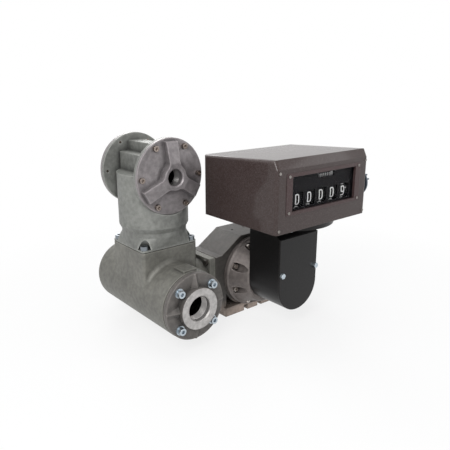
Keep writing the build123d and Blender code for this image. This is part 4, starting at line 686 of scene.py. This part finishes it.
# %% Figures
def figure_strokes(figure, width, height, stroke):
    """Centre lines of one figure in a box of that width and height: points, and if closed.

    The lines reach x = +-(width - stroke) / 2 and y = +-(height - stroke) / 2, so that the
    stroke's edge meets the box. The middle bar of 5, 6 and 8 lies at m.
    """
    x = (width - stroke) / 2
    y = (height - stroke) / 2
    m = 0.08 * height
    left = 0.02 * width - x
    six = [(x, y), (-x, y), (-x, -y), (x, -y), (x, m), (left, m)]
    loops = {
        0: [[(x, y), (-x, y), (-x, -y), (x, -y)]],
        8: [[(x, y), (-x, y), (-x, m), (x, m)], [(x, m), (-x, m), (-x, -y), (x, -y)]],
    }
    lines = {
        1: [[(-0.7 * x, 0.72 * y), (0.1 * x, y), (0.1 * x, -y)]],
        2: [[(-x, 0.5 * y), (-x, y), (x, y), (x, 0.15 * y), (-x, -0.45 * y), (-x, -y), (x, -y)]],
        3: [[(-x, y), (x, y), (x, 0), (-0.3 * x, 0)], [(0, 0), (x, 0), (x, -y), (-x, -y)]],
        4: [
            [(-0.5 * x, y), (-x, -0.4 * y), (x, -0.4 * y)],
            [(0.45 * x, 0.3 * y), (0.45 * x, -y)],
        ],
        5: [[(x, y), (-x, y), (-x, m), (x, m), (x, -y), (-x, -y)]],
        6: [six],
        7: [[(-x, y), (x, y), (-0.1 * x, -y)]],
        9: [[(-across, -up) for across, up in six]],
    }
    closed = figure in loops
    return [(points, closed) for points in (loops if closed else lines)[figure]]


# %% [markdown]
# A ribbon becomes a solid strip: four rows of points, two on the wheel and two lifted off
# it, joined by quads. Rings of four points carried along a path also make a tube and a
# screw thread, so one function makes the faces of all three. An open band gets a quad at
# each end, so every shell is closed. Many shells then join into one mesh.

# %% Bands and meshes
ROWS = 4


def band_faces(count, closed):
    """Quads between rings of four points; a closed band joins its last ring to its first.

    Quad k of step i joins corners k and k + 1 of ring i to the same corners of ring i + 1.
    """
    steps = count if closed else count - 1
    i = np.arange(steps)[:, None]
    near = ROWS * i
    far = ROWS * ((i + 1) % count)
    k = np.arange(ROWS)[None]
    n = (k + 1) % ROWS
    faces = np.stack([near + k, near + n, far + n, far + k], -1).reshape(-1, ROWS)
    if closed:
        return faces
    last = ROWS * (count - 1)
    ends = [[3, 2, 1, 0], [last, last + 1, last + 2, last + 3]]
    return np.concatenate([faces, ends])


def stroke_shell(path, half_width, closed, wrap, lift):
    """Solid strip along a stroke: its rings are left low, left high, right high, right low."""
    left, right = ribbon(path, half_width, closed)
    rings = np.stack([wrap(left, 0.0), wrap(left, lift), wrap(right, lift), wrap(right, 0.0)], 1)
    return rings.reshape(-1, 3), band_faces(len(path), closed)


def join_shells(shells):
    """One vertex array and one face array; each shell's faces count on from those before."""
    offsets = np.cumsum([0] + [len(vertices) for vertices, _ in shells[:-1]])
    vertices = np.concatenate([vertices for vertices, _ in shells])
    faces = np.concatenate([faces + offset for (_, faces), offset in zip(shells, offsets)])
    return vertices, faces


def mesh_piece(name, shell, material, body):
    """Makes a mesh object from arrays in metres, gives it the material and sets it on its body."""
    vertices, faces = shell
    data = bpy.data.meshes.new(name)
    data.from_pydata(vertices.tolist(), [], faces.tolist())
    data.update()
    data.materials.append(material)
    piece = bpy.data.objects.new(name, data)
    bpy.context.scene.collection.objects.link(piece)
    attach(piece, body)
    print(name, "has", len(faces), "quads and rides on", body)


# %% [markdown]
# The five wheels stand side by side on one shaft. Each figure is wrapped at its own angle
# round the rim, a tenth of a turn from the next. Four wheels show nought, and the ones
# wheel stands a little past nine, as it does when the flow stops between two units.

# %% Large numerals
WHEELS = ("ten_thousands", "thousands", "hundreds", "tens", "ones")
FIGURES = 10
FIGURE_WIDTH = 9.8 * MM
FIGURE_HEIGHT = 18.8 * MM
FIGURE_STROKE = 2.1 * MM
FIGURE_LIFT = 0.25 * MM
LARGE_FIGURE = (FIGURE_WIDTH, FIGURE_HEIGHT, FIGURE_STROKE, FIGURE_LIFT)
CORNER_SHARE = 0.28
ONES_SHOWN = 9.06
figure_white = moulded("figure_white", tone(255, 255, 253), 0.5)


def wheel_place(node):
    """Middle X, axis (y, z) and radius of a wheel whose axis runs along X."""
    low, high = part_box(node)
    axis = ((low.y + high.y) / 2, (low.z + high.z) / 2)
    return (low.x + high.x) / 2, axis, (high.z - low.z) / 2


def wheel_wrap(centre_x, axis, radius, start_angle):
    """The map from flat (across, up) to a wheel's rim.

    Up runs along the rim: the angle is start + up / radius, from the front (-Y) upwards.
    Then y = axis y - (radius + lift) * cos(angle), and z = axis z + the same * sin(angle).
    """

    def wrap(flat, lift):
        angle = start_angle + flat[:, 1] / radius
        reach = radius + lift
        y = axis[0] - reach * np.cos(angle)
        z = axis[1] + reach * np.sin(angle)
        return np.stack([centre_x + flat[:, 0], y, z], 1)

    return wrap


def figures_on_wheel(centre_x, axis, radius, shown, width, height, stroke, lift):
    """Shells of the ten figures; the shown value, which may be a fraction, faces the front."""
    shells = []
    for figure in range(FIGURES):
        wrap = wheel_wrap(centre_x, axis, radius, 2 * pi * (figure - shown) / FIGURES)
        for points, closed in figure_strokes(figure, width, height, stroke):
            path = rounded_path(points, CORNER_SHARE * width, closed)
            shells.append(stroke_shell(path, stroke / 2, closed, wrap, lift))
    return shells


for name in WHEELS:
    shown = ONES_SHOWN if name == "ones" else 0
    shells = figures_on_wheel(*wheel_place(name + "_wheel"), shown, *LARGE_FIGURE)
    mesh_piece(name + "_figures", join_shells(shells), figure_white, name)

# %% [markdown]
# The ones wheel also carries dots between its figures, by which tenths are read: one to
# the right a little above each figure's middle, and one to the left below it. A dot is
# a stroke that is as long as it is wide.

# %% Dots of the ones wheel
DOT_OFFSET = 8.4 * MM
DOT_SIZE = 1.9 * MM
RIGHT_DOT_TURN = 0.22
LEFT_DOT_TURN = -0.42

middle_x, axis, radius = wheel_place("ones_wheel")
dot_path = np.array([(-DOT_SIZE / 2, 0), (DOT_SIZE / 2, 0)])
dots = []
for figure in range(FIGURES):
    for side, ahead in ((1, RIGHT_DOT_TURN), (-1, LEFT_DOT_TURN)):
        turn = 2 * pi * (figure + ahead - ONES_SHOWN) / FIGURES
        wrap = wheel_wrap(middle_x + side * DOT_OFFSET, axis, radius, turn)
        dots.append(stroke_shell(dot_path, DOT_SIZE / 2, False, wrap, FIGURE_LIFT))
mesh_piece("ones_dots", join_shells(dots), figure_white, "ones")

# %% [markdown]
# Above the large wheels is the totalizer, which never goes back to zero. Its seven small
# wheels are one solid together with their shaft, so the wheels' own span is measured from
# the corners of that solid that lie far from the axis, and is cut into seven.

# %% Span of the totalizer
SMALL_COUNT = 7
SMALL_GAP = 0.4 * MM
RIM_SHARE = 0.9

_, small_axis, small_radius = wheel_place("totalizer_wheels")
small_mesh = nodes["totalizer_wheels"].data
corners = np.empty(3 * len(small_mesh.vertices), np.float32)
small_mesh.vertices.foreach_get("co", corners)
corners = corners.reshape(-1, 3).astype(float)
from_small_axis = np.hypot(corners[:, 1] - small_axis[0], corners[:, 2] - small_axis[1])
rim_x = corners[from_small_axis > RIM_SHARE * small_radius, 0]
small_x = float(rim_x.min() + rim_x.max()) / 2
small_step = float(rim_x.max() - rim_x.min() + SMALL_GAP) / SMALL_COUNT
small_places = [
    small_x + (place - (SMALL_COUNT - 1) / 2) * small_step for place in range(SMALL_COUNT)
]
print("totalizer wheels every", round(small_step / MM, 2), "mm")

# %% [markdown]
# Six of the small wheels are black with white figures, and the last one is white with
# dark figures. The solid is black all over, so a thin white sleeve goes round its last
# wheel. Paint in a mask would do it too, but the sleeve also gives that wheel its edge.

# %% Totalizer
SMALL_FIGURE = (3.2 * MM, 4.6 * MM, 0.85 * MM, 0.12 * MM)
SLEEVE_LIFT = 0.05 * MM
SLEEVE_DEPTH = 0.3 * MM
SLEEVE_STEPS = 48


def sleeve(centre_x, axis, inner, outer, width):
    """Thin tube along X: corner (x, r) of a ring goes round the axis and back to its start.

    At each angle it lies at centre + x, axis y - r * cos(angle), axis z + r * sin(angle).
    """
    angle = np.linspace(0, 2 * pi, SLEEVE_STEPS, endpoint=False)
    half = width / 2
    rows = []
    for x, r in ((-half, outer), (half, outer), (half, inner), (-half, inner)):
        across = np.full(SLEEVE_STEPS, centre_x + x)
        y = axis[0] - r * np.cos(angle)
        z = axis[1] + r * np.sin(angle)
        rows.append(np.stack([across, y, z], 1))
    return np.stack(rows, 1).reshape(-1, 3), band_faces(SLEEVE_STEPS, True)


outer = small_radius + SLEEVE_LIFT
inner = small_radius - SLEEVE_DEPTH
small_figures = [figures_on_wheel(x, small_axis, outer, 0, *SMALL_FIGURE) for x in small_places]
white_ones = join_shells([shell for shells in small_figures[:-1] for shell in shells])
dark_ones = join_shells(small_figures[-1])
tube = sleeve(small_places[-1], small_axis, inner, outer, small_step - SMALL_GAP)
figure_dark = slot_finishes["dial_black"]
mesh_piece("totalizer_figures", white_ones, figure_white, "totalizer")
mesh_piece("totalizer_last_wheel", tube, figure_white, "totalizer")
mesh_piece("totalizer_last_figures", dark_ones, figure_dark, "totalizer")

# %% [markdown]
# ## Pipe threads
# The ports are cut with a pipe thread. Seen from outside it is a row of fine bright
# ridges that sink into the hole. One ridge makes it: a profile with a wide foot on the
# bore and a narrow crest, carried along a helix like a tool through the metal.

# %% Threads
THREAD_PITCH = 2.209 * MM
THREAD_HEIGHT = 1.1 * MM
THREAD_MARGIN = 0.02 * MM
THREAD_START = 1.6 * MM
THREAD_STEPS = 72
FOOT_SHARE = 0.46
CREST_SHARE = 0.06
THREAD_LIGHT = {"inlet_port": 0.9, "outlet_port": 0.9, "vent_port": 0.25}


def thread_ridge(centre, outward, bore, depth):
    """Ridge along a helix: the point turns by the angle and sinks pitch * angle / (2 pi).

    Each ring has its two feet on the bore and its two crest corners one height nearer the
    axis; a foot or crest is that share of the pitch away from the helix, along the axis.
    """
    outward = np.array(outward, float)
    up = np.array([0.0, 0.0, 1.0])
    across = np.cross(outward, up)
    turns = int(depth / THREAD_PITCH) - 1
    angle = np.linspace(0, 2 * pi * turns, THREAD_STEPS * turns + 1)
    spoke = np.cos(angle)[:, None] * up + np.sin(angle)[:, None] * across
    helix = np.array(centre) - (THREAD_PITCH * angle / (2 * pi))[:, None] * outward
    crest = bore - THREAD_HEIGHT
    profile = (
        (FOOT_SHARE, bore),
        (CREST_SHARE, crest),
        (-CREST_SHARE, crest),
        (-FOOT_SHARE, bore),
    )
    rings = [helix - share * THREAD_PITCH * outward + reach * spoke for share, reach in profile]
    return np.stack(rings, 1).reshape(-1, 3), band_faces(len(angle), False)


for name, light in THREAD_LIGHT.items():
    mount = mounts[name]
    outward = mount["axis"]
    mouth = [place - THREAD_START * way for place, way in zip(mount["pos_m"], outward)]
    bore = mount["dims"]["r_mm"] * MM - THREAD_MARGIN
    ridge = thread_ridge(mouth, outward, bore, mount["dims"]["length_mm"] * MM - THREAD_START)
    metal = thread_metal(name + "_thread_metal", port_axis(mount), mount["pos_m"], light)
    mesh_piece(name + "_thread", ridge, metal, "casing")

# %% [markdown]
# ## Floor
# The photograph has a plain white ground. The floor is a wide pale sheet. To the camera,
# to mirrors and to glass it is partly a plain white of strength 1, and wholly so further
# out, where a lit sheet would fade to grey. Near the meter it keeps the soft shadow, and
# to all other rays it is an ordinary floor, so it adds no light to the object.

# %% Floor
FLOOR_HALF = 6.0
FLOOR_CLOUDS = 3.0
FLOOR_ROUGH = 0.9
FLOOR_TONES = (tone(236, 236, 236), tone(240, 240, 240))
WHITE = (1.0, 1.0, 1.0, 1.0)
NEAR_WHITE_SHARE = 0.80
SHADOW_RADIUS = 0.50
SHADOW_FADE = 0.5

floor_data = bpy.data.meshes.new("floor")
signs = ((-1, -1), (1, -1), (1, 1), (-1, 1))
floor_corners = [(x * FLOOR_HALF, y * FLOOR_HALF, 0) for x, y in signs]
floor_data.from_pydata(floor_corners, [], [(0, 1, 2, 3)])
floor = bpy.data.objects.new("floor", floor_data)
bpy.context.scene.collection.objects.link(floor)
sheet = Finish("floor", Roughness=FLOOR_ROUGH)
sheet.feed(Base_Color=sheet.mix(sheet.noise(FLOOR_CLOUDS), *FLOOR_TONES))
distance = (sheet.x * sheet.x + sheet.y * sheet.y).root()
far_out = distance.above(SHADOW_RADIUS, SHADOW_FADE)
white_share = (far_out * (1 - NEAR_WHITE_SHARE) + NEAR_WHITE_SHARE) * sheet.seen_directly()
plain_white = sheet.node("ShaderNodeEmission", {}, WHITE, 1.0)
shaders = (sheet.shader.outputs[0], plain_white.outputs[0])
blend = sheet.node("ShaderNodeMixShader", {}, white_share, *shaders)
sheet.plug(sheet.surface, "Surface", blend.outputs[0])
floor_data.materials.append(sheet.material)
print("floor", 2 * FLOOR_HALF, "m wide")

# %% [markdown]
# ## World
# The air round the meter is white to the same rays as the floor is. As light it is
# gentler and a little cool, so that the lamps still shape the castings.

# %% World
AMBIENT = (0.96, 0.98, 1.0, 1.0)
AMBIENT_STRENGTH = 0.31

world = bpy.data.worlds.new("studio")
bpy.context.scene.world = world
world.use_nodes = True
studio = Graph(world.node_tree)
ambient = studio.node("ShaderNodeBackground", {}, AMBIENT, AMBIENT_STRENGTH)
seen = studio.node("ShaderNodeBackground", {}, WHITE, 1.0)
shaders = (ambient.outputs[0], seen.outputs[0])
choice = studio.node("ShaderNodeMixShader", {}, studio.seen_directly(), *shaders)
studio.node("ShaderNodeOutputWorld", {}, choice.outputs[0])
print("ambient light", AMBIENT_STRENGTH)
